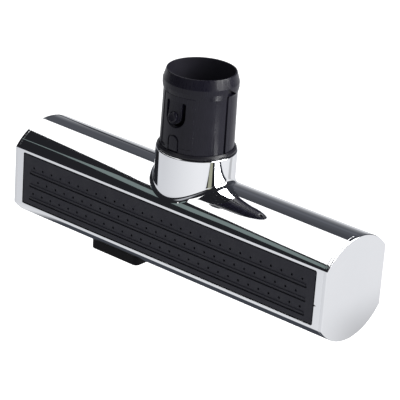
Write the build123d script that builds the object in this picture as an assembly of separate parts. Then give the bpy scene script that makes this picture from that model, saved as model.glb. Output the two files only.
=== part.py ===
"""Wand-mounted surface cleaning head: a chrome T-shaped nozzle on a swivelling wand connector.

Frame: origin at the centre of the connector's mouth, +Z out of the mouth along the wand,
+X along the bar, -Y the padded front of the head and +Y its suction face. Millimetres.
The pieces are drawn with the bar's centre at zero and are moved down to that frame on export.
"""
import os
from math import cos, radians, sin, sqrt

from build123d import *

# ---------------------------------------------------------------- driving dimensions

# Bar: two vertical flats joined by two shallow crowns
bar_length = 190.0
bar_depth = 43.5
bar_height = 50.0
flat_height = 29.0
crown_wall = 2.4
flat_wall = 5.0

# Neck that stands on the bar
neck_diameter = 38.0
neck_height = 13.2
neck_wall = 1.6
neck_tail_wall = 0.8
neck_root_fillet = 1.3
neck_rim_chamfer = 0.3

# End caps and their gaskets
cap_plate = 1.8
cap_edge_radius = 0.45
cap_plug_depth = 7.0
cap_plug_wall = 1.8
cap_plug_gap = 0.1
gasket_width = 1.1
gasket_thickness = 1.0

# Front pad, its carrier plate and the sealing sheet behind
pad_end_margin = 5.5
pad_edge_margin = 1.3
pad_corner_radius = 0.9
pad_side_gap = 0.3
pad_thickness = 2.0
pad_edge_round = 0.3
carrier_thickness = 1.3
sheet_thickness = 0.5
notch_drop = 3.3
notch_size = 0.7

# Pad surface: three long ribs, each below a row of dimples
rib_count = 3
rib_pitch = 6.72
rib_end_margin = 4.5
rib_width = 1.2
rib_rise = 0.45
rib_round = 0.4
first_rib_drop = 8.5
dimple_pitch = 5.87
dimple_diameter = 0.95
dimple_depth = 0.7
dimple_above_rib = 2.25

# Snap hooks of the carrier
hook_columns = 4
hook_end_margin = 14.2
hook_row_height = 16.0
hook_width = 5.0
hook_stem = 1.6
hook_lip = 0.7
hook_lip_height = 1.4
hook_gap = 0.3

# Suction plate on the back flat, with its slot, lint strips and screws
plate_end_margin = 9.0
plate_edge_margin = 2.0
plate_corner_radius = 2.0
plate_side_gap = 0.2
plate_thickness = 3.0
plate_gasket_thickness = 0.6
slot_end_margin = 22.0
slot_height = 8.0
window_margin = 1.5
strip_end_margin = 13.0
strip_height = 3.6
strip_depth = 1.5
strip_offset = 7.6
strip_corner_radius = 1.1
screw_columns = 2
screw_end_margin = 6.0
screw_row_height = 15.0
screw_diameter = 2.9
screw_head_diameter = 5.4
screw_head_depth = 1.6
screw_length = 8.0
screw_clearance = 0.15
screw_head_recess = 0.2
screw_cross_length = 3.0
screw_cross_width = 0.7
screw_cross_depth = 0.8
boss_diameter = 6.5
boss_depth = 5.0

# Flanged bush in the neck, in which the connector turns
bush_flange_step = 1.05
bush_flange_height = 2.8
bush_flange_land = 1.5
bush_lip_width = 0.2
bush_wall = 1.4
bush_length = 17.0
flange_gap = 0.25
washer_seat_rise = 0.5
washer_thickness = 0.8
washer_width = 1.1
running_gap = 0.06
end_float = 0.05

# Wand connector: a tapered sleeve with a lip ring, on a journal
spigot_length = 38.0
spigot_bore = 30.8
mouth_land = 0.12
lip_wall = 2.2
lip_top_drop = 4.7
lip_land = 2.3
lip_taper = 1.6
lip_taper_wall = 1.75
lip_step = 1.0
sleeve_top_wall = 1.3
sleeve_base_wall = 1.65
journal_wall = 2.0
journal_tail = 4.6
throat_taper = 3.0

# Raised front sector, axial grooves and lip notches of the sleeve
sector_half_angle = 32.3
sector_rise = 0.12
groove_angle = 88.5
groove_width = 2.0
groove_depth = 0.55
notch_run = 7.4
notch_floor_gap = 0.1
detail_inset = 0.3

# Seal and retaining clip on the journal
seal_section = 1.2
seal_groove_width = 1.7
seal_squeeze_gap = 0.03
seal_depth_in_bush = 8.0
clip_thickness = 1.2
clip_groove_depth = 0.7
clip_reach = 1.3
clip_opening_angle = 50.0
clip_gap = 0.15

# Latch tongue cut out of the sleeve, and its button
tongue_width = 7.3
tongue_slot = 1.8
tongue_root_drop = 11.9
tongue_nose_drop = 18.9
root_barrel_radius = 0.62
root_clearance = 0.1
root_relief = 0.3
button_diameter = 5.5
button_rise = 2.1
button_chamfer = 0.45

# Raised key below the latch
key_width = 5.4
key_rise = 1.1
key_top_rise = 9.7
key_base_gap = 0.3

# Relief slide on the underside
slide_centre = -36.95
slide_length = 29.9
slide_depth = 24.0
slide_drop = 2.45
slide_corner_radius = 2.6
slide_edge_round = 0.8
slide_gap = 0.3
slide_travel = 14.0
stem_length = 8.0
stem_width = 6.0
stem_gap = 0.2
stem_edge_margin = 5.6
retainer_length = 14.0
retainer_width = 14.0
retainer_side_gap = 1.0
retainer_thickness = 1.5
retainer_boss_rise = 0.4
retainer_boss_rim = 0.7
retainer_screw_diameter = 2.5
retainer_screw_head = 4.6
retainer_screw_head_height = 1.6
retainer_screw_length = 6.5
retainer_cross_length = 2.4
retainer_cross_width = 0.6
retainer_cross_depth = 0.8

# ---------------------------------------------------------------- derived places

half_length = bar_length / 2
half_depth = bar_depth / 2
crown_sag = (bar_height - flat_height) / 2
crown_radius = (half_depth**2 + crown_sag**2) / (2 * crown_sag)
crown_centre = bar_height / 2 - crown_radius
cavity_half_depth = half_depth - flat_wall
cavity_radius = crown_radius - crown_wall
cavity_corner = crown_centre + sqrt(cavity_radius**2 - cavity_half_depth**2)
shell_half_length = half_length - cap_plate

pad_opening_length = bar_length - 2 * pad_end_margin
pad_opening_height = flat_height - 2 * pad_edge_margin
pad_length = pad_opening_length - 2 * pad_side_gap
pad_height = pad_opening_height - 2 * pad_side_gap
pad_back = -half_depth + pad_thickness
carrier_back = pad_back + carrier_thickness
sheet_back = carrier_back + sheet_thickness
front_wall_inside = -half_depth + flat_wall
rib_length = pad_length - 2 * rib_end_margin
dimple_columns = int(rib_length / dimple_pitch) + 1
hook_span = pad_length - 2 * hook_end_margin

plate_length = bar_length - 2 * plate_end_margin
plate_height = flat_height - 2 * plate_edge_margin
slot_length = plate_length - 2 * slot_end_margin
strip_length = plate_length - 2 * strip_end_margin
screw_span = plate_length - 2 * screw_end_margin
plate_back = half_depth - plate_thickness
plate_gasket_back = plate_back - plate_gasket_thickness
back_wall_inside = half_depth - flat_wall

neck_radius = neck_diameter / 2
neck_rise = bar_height / 2 + neck_height
neck_bore_radius = neck_radius - neck_wall
neck_tail_foot = crown_centre + sqrt(crown_radius**2 - neck_bore_radius**2)
neck_tail_radius = neck_bore_radius + neck_tail_wall
bush_bore_radius = neck_bore_radius - bush_wall
bush_bottom = neck_rise - bush_length
bush_top = neck_rise + bush_flange_height
journal_radius = bush_bore_radius - running_gap
throat_radius = journal_radius - journal_wall
journal_bottom = bush_bottom - journal_tail
washer_seat = neck_rise + washer_seat_rise
washer_top = washer_seat + washer_thickness
shoulder_height = washer_top + end_float
spigot_height = neck_rise + spigot_length
bore_radius = spigot_bore / 2
lip_radius = bore_radius + lip_wall
lip_taper_radius = bore_radius + lip_taper_wall
cutter_reach = 2 * lip_radius
sleeve_top_radius = bore_radius + sleeve_top_wall
sleeve_base_radius = bore_radius + sleeve_base_wall
bush_throat_radius = sleeve_base_radius + flange_gap
bush_lip_radius = bush_throat_radius + bush_lip_width
bush_flange_radius = bush_lip_radius + bush_flange_step
lip_top = spigot_height - lip_top_drop
lip_bottom = lip_top - lip_land
lip_taper_bottom = lip_bottom - lip_taper
sleeve_top = lip_taper_bottom - lip_step
mid_wall_radius = (bore_radius + sleeve_top_radius) / 2
tongue_root_height = spigot_height - tongue_root_drop
tongue_nose_height = spigot_height - tongue_nose_drop
key_top_height = neck_rise + key_top_rise

slide_left = slide_centre - slide_length / 2
stem_left = slide_left + stem_edge_margin
stem_centre = stem_left + stem_length / 2
stem_top = -(crown_centre + cavity_radius) + slide_gap
retainer_seat = stem_top + retainer_thickness + retainer_boss_rise


def move_to_frame(part):
    """Move a piece from the bar's centre to the mouth's frame."""
    return Pos(0, 0, -spigot_height) * part


def save(part, node, colour):
    """Write one node's solids to its own STEP file."""
    placed = move_to_frame(part)
    placed.label = node
    placed.color = Color(*colour)
    export_step(placed, os.path.join("parts", node + ".step"))


# ---------------------------------------------------------------- shared outlines

def lens(half_width, radius):
    """Face in the YZ plane: two vertical flats joined by the crowns' arcs."""
    corner = crown_centre + sqrt(radius**2 - half_width**2)
    crown = crown_centre + radius
    top = ThreePointArc((-half_width, corner), (0, crown), (half_width, corner))
    right = Line((half_width, corner), (half_width, -corner))
    bottom = ThreePointArc((half_width, -corner), (0, -crown), (-half_width, -corner))
    left = Line((-half_width, -corner), (-half_width, corner))
    return Plane.YZ * make_face([top, right, bottom, left])


def bar_prism(half_width, radius, start, end):
    """Prism of the lens outline from one place along the bar to another."""
    return Pos(start, 0, 0) * extrude(lens(half_width, radius), end - start)


def cavity_prism(grow, start, end):
    """The shell's cavity, grown sideways, between two places along the bar."""
    return bar_prism(cavity_half_depth + grow, cavity_radius + grow, start, end)


def slab(length, height, corner, front, back):
    """Rounded rectangular plate that faces along Y, centred on the bar's axis."""
    outline = Plane.XZ * RectangleRounded(length, height, corner)
    return Pos(0, back, 0) * extrude(outline, back - front)


def rod_y(radius, front, back, x=0.0, z=0.0):
    """Cylinder along Y between two places."""
    return Pos(x, back, z) * extrude(Plane.XZ * Circle(radius), back - front)


def tube(outer, inner, low, high):
    """Plain ring about the wand's axis."""
    ring = Circle(outer) - Circle(inner)
    return Pos(0, 0, low) * extrude(ring, high - low)


def turned(points):
    """Solid of revolution about the wand's axis from (radius, height) points."""
    return revolve(Plane.XZ * make_face(Polyline(*points, close=True)), Axis.Z)


def spread(count, span):
    """Evenly spaced places across a span, centred on zero."""
    step = span / (count - 1)
    return [step * i - span / 2 for i in range(count)]


def hook_places():
    """Places of the pad carrier's snap hooks, as (x, z)."""
    rows = (-hook_row_height / 2, hook_row_height / 2)
    return [(x, z) for x in spread(hook_columns, hook_span) for z in rows]


def screw_places():
    """Places of the suction plate's screws, as (x, z)."""
    rows = (-screw_row_height / 2, screw_row_height / 2)
    return [(x, z) for x in spread(screw_columns, screw_span) for z in rows]


# ---------------------------------------------------------------- head: shell and caps

def make_bar_shell():
    """Chrome bar: a hollow profile with a neck hole, pockets, windows and screw bosses."""
    shell = bar_prism(half_depth, crown_radius, -shell_half_length, shell_half_length)
    shell -= cavity_prism(0, -shell_half_length, shell_half_length)
    shell -= Pos(0, 0, cavity_corner) * extrude(Circle(neck_bore_radius), bar_height)
    shell -= Pos(0, 0, neck_tail_foot) * extrude(Circle(neck_tail_radius), bar_height)
    for side in (-1, 1):
        end = side * shell_half_length
        start = end - side * gasket_thickness
        shell -= cavity_prism(gasket_width, min(start, end), max(start, end))

    shell -= slab(pad_opening_length, pad_opening_height, pad_corner_radius, -half_depth, sheet_back)
    pry = Pos(pad_opening_length / 2, -half_depth, -notch_drop) * Rot(0, 45, 0)
    shell -= pry * Box(notch_size * 2, pad_thickness * 2, notch_size * 2)
    for x, z in hook_places():
        size = (hook_width + 2 * hook_gap, flat_wall, hook_stem + 2 * hook_lip + 2 * hook_gap)
        shell -= Pos(x, front_wall_inside - flat_wall / 2, z) * Box(*size)

    shell -= slab(plate_length, plate_height, plate_corner_radius, plate_gasket_back, half_depth)
    shell -= slot_cut(window_margin, 0, half_depth)
    for x, z in screw_places():
        shell += rod_y(boss_diameter / 2, back_wall_inside - boss_depth, back_wall_inside, x, z)
        shell -= rod_y(screw_diameter / 2, plate_back - screw_length, half_depth, x, z)

    shell -= slide_channel()
    return shell


def make_neck_tube():
    """Chrome neck: a tube that stands on the crown with a rounded root and a tail through it."""
    bar = bar_prism(half_depth, crown_radius, -neck_diameter, neck_diameter)
    joined = bar + extrude(Circle(neck_radius), neck_rise)
    roots = [e for e in joined.edges() if e.geom_type not in (GeomType.LINE, GeomType.CIRCLE)]
    neck = fillet(roots, neck_root_fillet)
    rim = neck.edges().filter_by(GeomType.CIRCLE).sort_by(Axis.Z)[-1]
    neck = chamfer(rim, neck_rim_chamfer) - bar
    neck += tube(neck_tail_radius, neck_bore_radius, neck_tail_foot, neck_rise - neck_rim_chamfer)
    return neck - extrude(Circle(neck_bore_radius), neck_rise)


def slide_channel():
    """Slot in the underside that the relief slide's stem runs in."""
    length = stem_length + slide_travel + 2 * stem_gap
    width = stem_width + 2 * stem_gap
    x = stem_left - stem_gap + length / 2
    return Pos(x, 0, -bar_height / 2 + crown_wall / 2) * Box(length, width, crown_wall * 3)


def make_end_cap(side):
    """Flat chrome cap with a rounded rim and a hollow plug; side is -1 or 1."""
    plate = bar_prism(half_depth, crown_radius, shell_half_length, half_length)
    rim = plate.faces().sort_by(Axis.X)[-1].edges()
    cap = fillet(rim, cap_edge_radius)
    plug_start = shell_half_length - cap_plug_depth
    cap += cavity_prism(-cap_plug_gap, plug_start, shell_half_length)
    cap -= cavity_prism(-cap_plug_gap - cap_plug_wall, plug_start, shell_half_length)
    return cap if side > 0 else mirror(cap, Plane.YZ)


def make_cap_gasket(side):
    """Flat ring round a cap's plug, in the rebate at the shell's end."""
    start = shell_half_length - gasket_thickness
    ring = cavity_prism(gasket_width, start, shell_half_length)
    ring -= cavity_prism(0, start, shell_half_length)
    return ring if side > 0 else mirror(ring, Plane.YZ)


# ---------------------------------------------------------------- head: front pad

def make_front_pad():
    """Rubber pad with long ribs and rows of dimples."""
    pad = slab(pad_length, pad_height, pad_corner_radius - pad_side_gap, -half_depth, pad_back)
    front = pad.faces().sort_by(Axis.Y)[0].edges()
    pad = fillet(front, pad_edge_round)
    holes = []
    for row in range(rib_count):
        z = pad_opening_height / 2 - first_rib_drop - row * rib_pitch
        outline = Plane.XZ * SlotOverall(rib_length, rib_width)
        rib = Pos(0, -half_depth, z) * extrude(outline, rib_rise)
        pad += fillet(rib.faces().sort_by(Axis.Y)[0].edges(), rib_round)
        columns = dimple_columns - row % 2
        for x in spread(columns, (columns - 1) * dimple_pitch):
            hole = Cylinder(dimple_diameter / 2, 2 * dimple_depth, rotation=(90, 0, 0))
            holes.append(Pos(x, -half_depth, z + dimple_above_rib) * hole)
    return pad - holes


def make_pad_carrier():
    """Rigid plate behind the pad, with snap hooks through the shell's front wall."""
    carrier = slab(pad_length, pad_height, pad_corner_radius - pad_side_gap, pad_back, carrier_back)
    for x, z in hook_places():
        lip_side = 1 if z > 0 else -1
        stem_end = front_wall_inside + hook_gap + hook_lip_height
        stem = Box(hook_width, stem_end - carrier_back, hook_stem)
        carrier += Pos(x, (stem_end + carrier_back) / 2, z) * stem
        lip_z = z + lip_side * (hook_stem / 2 + hook_lip)
        lip_y = front_wall_inside + hook_gap + hook_lip_height / 2
        carrier += Pos(x, lip_y, lip_z) * Box(hook_width, hook_lip_height, 2 * hook_lip)
    return carrier


def make_pad_sheet():
    """Thin sealing sheet between the carrier and the pocket's floor."""
    sheet = slab(pad_length, pad_height, pad_corner_radius - pad_side_gap, carrier_back, sheet_back)
    for x, z in hook_places():
        size = (hook_width + 2 * hook_gap, pad_thickness * 4, hook_stem + 2 * hook_gap)
        sheet -= Pos(x, sheet_back, z) * Box(*size)
    return sheet


# ---------------------------------------------------------------- head: suction face

def slot_cut(margin, front, back):
    """Round-ended slot of the suction face, grown by a margin."""
    height = slot_height + 2 * margin
    outline = Plane.XZ * SlotOverall(slot_length + 2 * margin, height)
    return Pos(0, back, 0) * extrude(outline, back - front)


def make_suction_plate():
    """Black plate with the suction slot, two strip channels and screw holes."""
    length = plate_length - 2 * plate_side_gap
    height = plate_height - 2 * plate_side_gap
    plate = slab(length, height, plate_corner_radius - plate_side_gap, plate_back, half_depth)
    plate -= slot_cut(0, plate_back, half_depth)
    for side in (-1, 1):
        plate -= strip_block(side)
    for x, z in screw_places():
        shank_hole = screw_diameter / 2 + screw_clearance
        head_hole = screw_head_diameter / 2 + screw_clearance
        plate -= rod_y(shank_hole, plate_back, half_depth, x, z)
        plate -= rod_y(head_hole, half_depth - screw_head_depth, half_depth, x, z)
    return plate


def strip_block(side):
    """Space of one lint strip in the suction face."""
    outline = Plane.XZ * RectangleRounded(strip_length, strip_height, strip_corner_radius)
    return Pos(0, half_depth, side * strip_offset) * extrude(outline, strip_depth)


def make_plate_gasket():
    """Sealing frame between the suction plate and the bottom of its pocket."""
    length = plate_length - 2 * plate_side_gap
    height = plate_height - 2 * plate_side_gap
    frame = slab(length, height, plate_corner_radius - plate_side_gap, plate_gasket_back, plate_back)
    frame -= slot_cut(window_margin, plate_gasket_back, plate_back)
    for x, z in screw_places():
        frame -= rod_y(screw_diameter / 2 + screw_clearance, plate_gasket_back, plate_back, x, z)
    return frame


def make_plate_screws():
    """Group of self-tapping screws that hold the suction plate."""
    head_low = half_depth - screw_head_depth
    head_high = half_depth - screw_head_recess
    across = Box(screw_cross_length, 2 * screw_cross_depth, screw_cross_width)
    upright = Box(screw_cross_width, 2 * screw_cross_depth, screw_cross_length)
    screws = []
    for x, z in screw_places():
        head = rod_y(screw_head_diameter / 2, head_low, head_high, x, z)
        shank = rod_y(screw_diameter / 2, plate_back - screw_length, head_low, x, z)
        screws.append(head + shank - Pos(x, head_high, z) * (across + upright))
    return Compound(children=screws)


# ---------------------------------------------------------------- head: neck bush

def make_neck_bush():
    """Flanged bush pressed in the neck; its flange shows as a black ring on the neck."""
    seat = bush_bore_radius + washer_width + running_gap
    return turned([
        (bush_bore_radius, bush_bottom),
        (neck_bore_radius, bush_bottom),
        (neck_bore_radius, neck_rise),
        (bush_flange_radius, neck_rise),
        (bush_flange_radius, neck_rise + bush_flange_land),
        (bush_lip_radius, bush_top),
        (bush_throat_radius, bush_top),
        (bush_throat_radius, washer_top),
        (seat, washer_top),
        (seat, washer_seat),
        (bush_bore_radius, washer_seat),
    ])


def make_thrust_washer():
    """Slip ring under the connector's shoulder."""
    inner = bush_bore_radius + running_gap
    return tube(inner + washer_width - running_gap, inner, washer_seat, washer_top)


# ---------------------------------------------------------------- connector

def sleeve_radius(height):
    """Outer radius of the tapered sleeve at a height."""
    share = (height - shoulder_height) / (sleeve_top - shoulder_height)
    return sleeve_base_radius + share * (sleeve_top_radius - sleeve_base_radius)


def sleeve_blank():
    """Turned blank of the connector: lip ring, tapered sleeve and journal."""
    return turned([
        (bore_radius, shoulder_height + throat_taper),
        (bore_radius, spigot_height),
        (bore_radius + mouth_land, spigot_height),
        (lip_radius, lip_top),
        (lip_radius, lip_bottom),
        (lip_taper_radius, lip_taper_bottom),
        (sleeve_top_radius, sleeve_top),
        (sleeve_base_radius, shoulder_height),
        (journal_radius, shoulder_height),
        (journal_radius, journal_bottom),
        (throat_radius, journal_bottom),
        (throat_radius, shoulder_height),
    ])


def front_prism(outline, reach):
    """Prism through the sleeve's front wall from an outline in X and Z."""
    return extrude(Plane.XZ * outline, reach)


def tongue_outline(grow):
    """Tongue with a round nose below and a straight root above, grown sideways."""
    half = tongue_width / 2 + grow
    root = tongue_root_height
    nose = tongue_nose_height
    sides = [
        Line((half, nose), (half, root)),
        Line((half, root), (-half, root)),
        Line((-half, root), (-half, nose)),
        ThreePointArc((-half, nose), (0, nose - half), (half, nose)),
    ]
    return make_face(sides)


def root_barrel(radius, half_width):
    """Round root of the tongue, along X at the middle of the sleeve's wall."""
    barrel = Rot(0, 90, 0) * Cylinder(radius, 2 * half_width)
    return Pos(0, -mid_wall_radius, tongue_root_height) * barrel


def sector_prism(half_angle, radius, low, high, middle=0.0):
    """Pie slice about the wand's axis; angles run from -Y towards +X."""
    slice_face = make_face(pie_edges(half_angle, radius))
    return Rot(0, 0, middle) * (Pos(0, 0, low) * extrude(slice_face, high - low))


def pie_edges(half_angle, radius):
    """Edges of a pie slice centred on -Y."""
    swing = radians(half_angle)
    start = (-radius * sin(swing), -radius * cos(swing))
    end = (radius * sin(swing), -radius * cos(swing))
    return [Line((0, 0), start), ThreePointArc(start, (0, -radius), end), Line(end, (0, 0))]


def make_wand_connector():
    """Black sleeve that takes the wand, with lip ring, latch slot, key and journal."""
    sleeve = sleeve_blank()

    inset_radius = bore_radius + detail_inset
    raised_low = shoulder_height + throat_taper
    raised_high = sleeve_top + lip_step / 2
    raised = turned([
        (inset_radius, raised_low),
        (sleeve_radius(raised_low) + sector_rise, raised_low),
        (sleeve_radius(sleeve_top) + sector_rise, sleeve_top),
        (sleeve_radius(sleeve_top), raised_high),
        (inset_radius, raised_high),
    ])
    sleeve += raised & sector_prism(sector_half_angle, cutter_reach, shoulder_height, lip_bottom)

    key_foot = bush_top + key_base_gap
    key_round = key_top_height - key_width / 2
    key_outline = make_face([
        Line((-key_width / 2, key_foot), (key_width / 2, key_foot)),
        Line((key_width / 2, key_foot), (key_width / 2, key_round)),
        ThreePointArc((key_width / 2, key_round), (0, key_top_height), (-key_width / 2, key_round)),
        Line((-key_width / 2, key_round), (-key_width / 2, key_foot)),
    ])
    key_radius = sleeve_radius(key_foot) + key_rise
    key_ring = tube(key_radius, inset_radius, key_foot, key_top_height)
    sleeve += front_prism(key_outline, cutter_reach) & key_ring

    for half_turn in (0, 180):
        middle = groove_angle + half_turn
        floor = sleeve_radius(sleeve_top) - groove_depth
        cutter = Pos(0, -floor - cutter_reach / 2, (bush_top + lip_taper_bottom) / 2)
        height = lip_taper_bottom - bush_top
        sleeve -= Rot(0, 0, middle) * (cutter * Box(groove_width, cutter_reach, height))
        sleeve -= Rot(0, 0, middle) * lip_notch()

    sleeve -= front_prism(tongue_outline(tongue_slot), cutter_reach)
    sleeve -= root_barrel(root_barrel_radius + root_clearance, tongue_width / 2 + tongue_slot)

    seal_middle = neck_rise - seal_depth_in_bush
    seal_inner = bush_bore_radius - seal_squeeze_gap - seal_section
    seal_low = seal_middle - seal_groove_width / 2
    sleeve -= tube(bush_bore_radius, seal_inner, seal_low, seal_low + seal_groove_width)
    clip_top = bush_bottom - clip_gap
    groove_inner = journal_radius - clip_groove_depth
    sleeve -= tube(bush_bore_radius, groove_inner, clip_top - clip_thickness, clip_top)
    return sleeve


def lip_notch():
    """Ramp-shaped notch in the lower edge of the lip ring, above an axial groove."""
    left = -groove_width / 2
    outline = make_face(Polyline(
        (left, lip_top),
        (left + notch_run, lip_taper_bottom),
        (left, lip_taper_bottom),
        close=True,
    ))
    ring = tube(cutter_reach, sleeve_top_radius + notch_floor_gap, lip_taper_bottom, lip_top)
    return front_prism(outline, cutter_reach) & ring


def make_connector_seal():
    """O-ring between the connector's journal and the bush."""
    middle = bush_bore_radius - seal_squeeze_gap - seal_section / 2
    circle = Plane.XZ * (Pos(middle, neck_rise - seal_depth_in_bush) * Circle(seal_section / 2))
    return revolve(circle, Axis.Z)


def make_connector_clip():
    """Open spring ring that keeps the journal in the bush."""
    high = bush_bottom - clip_gap
    inner = journal_radius - clip_groove_depth
    ring = tube(journal_radius + clip_reach, inner, high - clip_thickness, high)
    return ring - sector_prism(clip_opening_angle / 2, neck_diameter, high - clip_thickness, high, 180)


def make_latch_tongue():
    """Sprung tongue of the sleeve's wall, with its round root and button."""
    wall = sleeve_blank() & front_prism(tongue_outline(0), cutter_reach)
    top = Pos(0, -mid_wall_radius, tongue_root_height)
    wall -= top * Box(tongue_width * 2, spigot_bore, 2 * root_relief)
    barrel = root_barrel(root_barrel_radius, tongue_width / 2)
    button_face = sleeve_radius(tongue_nose_height) + button_rise
    button = rod_y(button_diameter / 2, -button_face, -mid_wall_radius, 0, tongue_nose_height)
    button = chamfer(button.edges().sort_by(Axis.Y)[0], button_chamfer)
    return wall + barrel + button


# ---------------------------------------------------------------- relief slide

def make_relief_slide():
    """Black saddle-shaped slide that covers the relief slot, with its stem."""
    bottom = -bar_height / 2 - slide_drop
    block = extrude(RectangleRounded(slide_length, slide_depth, slide_corner_radius), bar_height / 4)
    block = fillet(block.faces().sort_by(Axis.Z)[0].edges(), slide_edge_round)
    slide = Pos(slide_centre, 0, bottom) * block
    slide -= bar_prism(half_depth, crown_radius + slide_gap, slide_left, slide_left + slide_length)
    stem_low = bottom + slide_drop / 2
    stem = Box(stem_length, stem_width, stem_top - stem_low)
    slide += Pos(stem_centre, 0, (stem_top + stem_low) / 2) * stem
    pilot = Cylinder(retainer_screw_diameter / 2, retainer_screw_length)
    return slide - Pos(stem_centre, 0, retainer_seat - retainer_screw_length / 2) * pilot


def make_slide_retainer():
    """Curved plate inside the shell that holds the slide's stem, with a flat screw seat."""
    start = stem_centre - retainer_length / 2
    end = stem_centre + retainer_length / 2
    outer = cavity_radius - slide_gap
    band = bar_prism(cavity_half_depth - retainer_side_gap, outer, start, end)
    band -= bar_prism(cavity_half_depth - retainer_side_gap, outer - retainer_thickness, start, end)
    keep = Box(retainer_length, retainer_width, bar_height / 2)
    retainer = band & Pos(stem_centre, 0, -bar_height / 2) * keep
    boss_radius = retainer_screw_head / 2 + retainer_boss_rim
    boss_height = retainer_thickness + retainer_boss_rise
    boss = Pos(stem_centre, 0, retainer_seat - boss_height / 2) * Cylinder(boss_radius, boss_height)
    boss &= bar_prism(cavity_half_depth - retainer_side_gap, outer, start, end)
    hole = Cylinder(retainer_screw_diameter / 2 + screw_clearance, bar_height / 2)
    return retainer + boss - Pos(stem_centre, 0, -bar_height / 2) * hole


def make_retainer_screw():
    """Pan-head screw through the retainer into the slide's stem."""
    half_head = retainer_screw_head_height / 2
    head = Cylinder(retainer_screw_head / 2, retainer_screw_head_height)
    head = fillet(head.edges().sort_by(Axis.Z)[-1], retainer_cross_width)
    across = Box(retainer_cross_length, retainer_cross_width, 2 * retainer_cross_depth)
    upright = Box(retainer_cross_width, retainer_cross_length, 2 * retainer_cross_depth)
    head -= Pos(0, 0, half_head) * (across + upright)
    shank = Cylinder(retainer_screw_diameter / 2, retainer_screw_length)
    screw = Pos(0, 0, half_head) * head + Pos(0, 0, -retainer_screw_length / 2) * shank
    return Pos(stem_centre, 0, retainer_seat) * screw


# ---------------------------------------------------------------- build

chrome = (0.80, 0.81, 0.83)
black = (0.06, 0.06, 0.07)
charcoal = (0.12, 0.12, 0.13)
steel = (0.60, 0.60, 0.62)
felt = (0.35, 0.05, 0.06)
natural = (0.85, 0.83, 0.78)

pieces = {
    "bar_shell": (make_bar_shell(), chrome),
    "neck_tube": (make_neck_tube(), chrome),
    "left_end_cap": (make_end_cap(-1), chrome),
    "right_end_cap": (make_end_cap(1), chrome),
    "left_cap_gasket": (make_cap_gasket(-1), charcoal),
    "right_cap_gasket": (make_cap_gasket(1), charcoal),
    "front_pad": (make_front_pad(), charcoal),
    "pad_carrier": (make_pad_carrier(), black),
    "pad_sealing_sheet": (make_pad_sheet(), charcoal),
    "suction_plate": (make_suction_plate(), black),
    "plate_gasket": (make_plate_gasket(), charcoal),
    "upper_lint_strip": (strip_block(1), felt),
    "lower_lint_strip": (strip_block(-1), felt),
    "plate_screws": (make_plate_screws(), steel),
    "neck_bush": (make_neck_bush(), black),
    "thrust_washer": (make_thrust_washer(), natural),
    "wand_connector": (make_wand_connector(), black),
    "connector_seal": (make_connector_seal(), charcoal),
    "connector_clip": (make_connector_clip(), steel),
    "latch_tongue": (make_latch_tongue(), black),
    "relief_slide": (make_relief_slide(), black),
    "slide_retainer": (make_slide_retainer(), natural),
    "retainer_screw": (make_retainer_screw(), steel),
}

os.makedirs("parts", exist_ok=True)
for node, (part, colour) in pieces.items():
    save(part, node, colour)
    print(node, len(part.solids()), "solid(s)", round(part.volume, 1), "mm3")
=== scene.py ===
# %% [markdown]
# # A chrome cleaning head and its wand connector
#
# This notebook dresses a finished mechanical model. The construction comes in as a fixed frame: each piece
# has its real size and its place, and nothing here moves or resizes it. What is added is what the eye asks
# for: rounded edges, moulded detail, plated metal that mirrors a studio, and black plastics that don't all
# look the same. Everything is in metres, with +Z along the wand, +X along the bar and -Y towards the padded
# front.

# %% Load the frame
import math

import bpy
import numpy as np
from mathutils import Matrix, Vector


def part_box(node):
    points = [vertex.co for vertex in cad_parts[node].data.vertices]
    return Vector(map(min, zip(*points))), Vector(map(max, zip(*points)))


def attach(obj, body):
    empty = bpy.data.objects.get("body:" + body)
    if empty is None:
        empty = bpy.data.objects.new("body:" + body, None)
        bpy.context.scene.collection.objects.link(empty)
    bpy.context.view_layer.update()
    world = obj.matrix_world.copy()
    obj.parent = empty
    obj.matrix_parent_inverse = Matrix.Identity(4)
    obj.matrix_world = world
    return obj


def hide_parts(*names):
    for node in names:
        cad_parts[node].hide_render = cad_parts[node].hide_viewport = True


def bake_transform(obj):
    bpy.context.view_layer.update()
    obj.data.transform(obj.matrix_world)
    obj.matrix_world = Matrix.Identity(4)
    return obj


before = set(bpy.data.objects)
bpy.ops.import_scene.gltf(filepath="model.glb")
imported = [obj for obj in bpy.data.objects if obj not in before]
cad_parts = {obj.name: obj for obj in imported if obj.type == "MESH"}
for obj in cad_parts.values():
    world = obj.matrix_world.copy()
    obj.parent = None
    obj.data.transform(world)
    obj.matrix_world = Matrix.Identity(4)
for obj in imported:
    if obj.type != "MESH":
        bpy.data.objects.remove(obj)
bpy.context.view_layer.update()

mm = 0.001
scene = bpy.context.scene

# %% [markdown]
# ## Sizes come from the frame
#
# The bar is two upright flats joined by two shallow crowns. Its box gives the height, depth and length. A
# box can't say where the flats end, so that height is a value of its own, and the crown's radius follows
# from the two.

# %% Sizes of the bar and the neck
shell_low, shell_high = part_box("bar_shell")
cap_low, cap_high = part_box("right_end_cap")
neck_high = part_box("neck_tube")[1]
flange_low, flange_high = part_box("neck_bush")
sleeve_low, sleeve_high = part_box("wand_connector")
pad_low, pad_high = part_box("front_pad")
plate_low, plate_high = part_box("suction_plate")
slide_low, slide_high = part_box("relief_slide")

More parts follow.
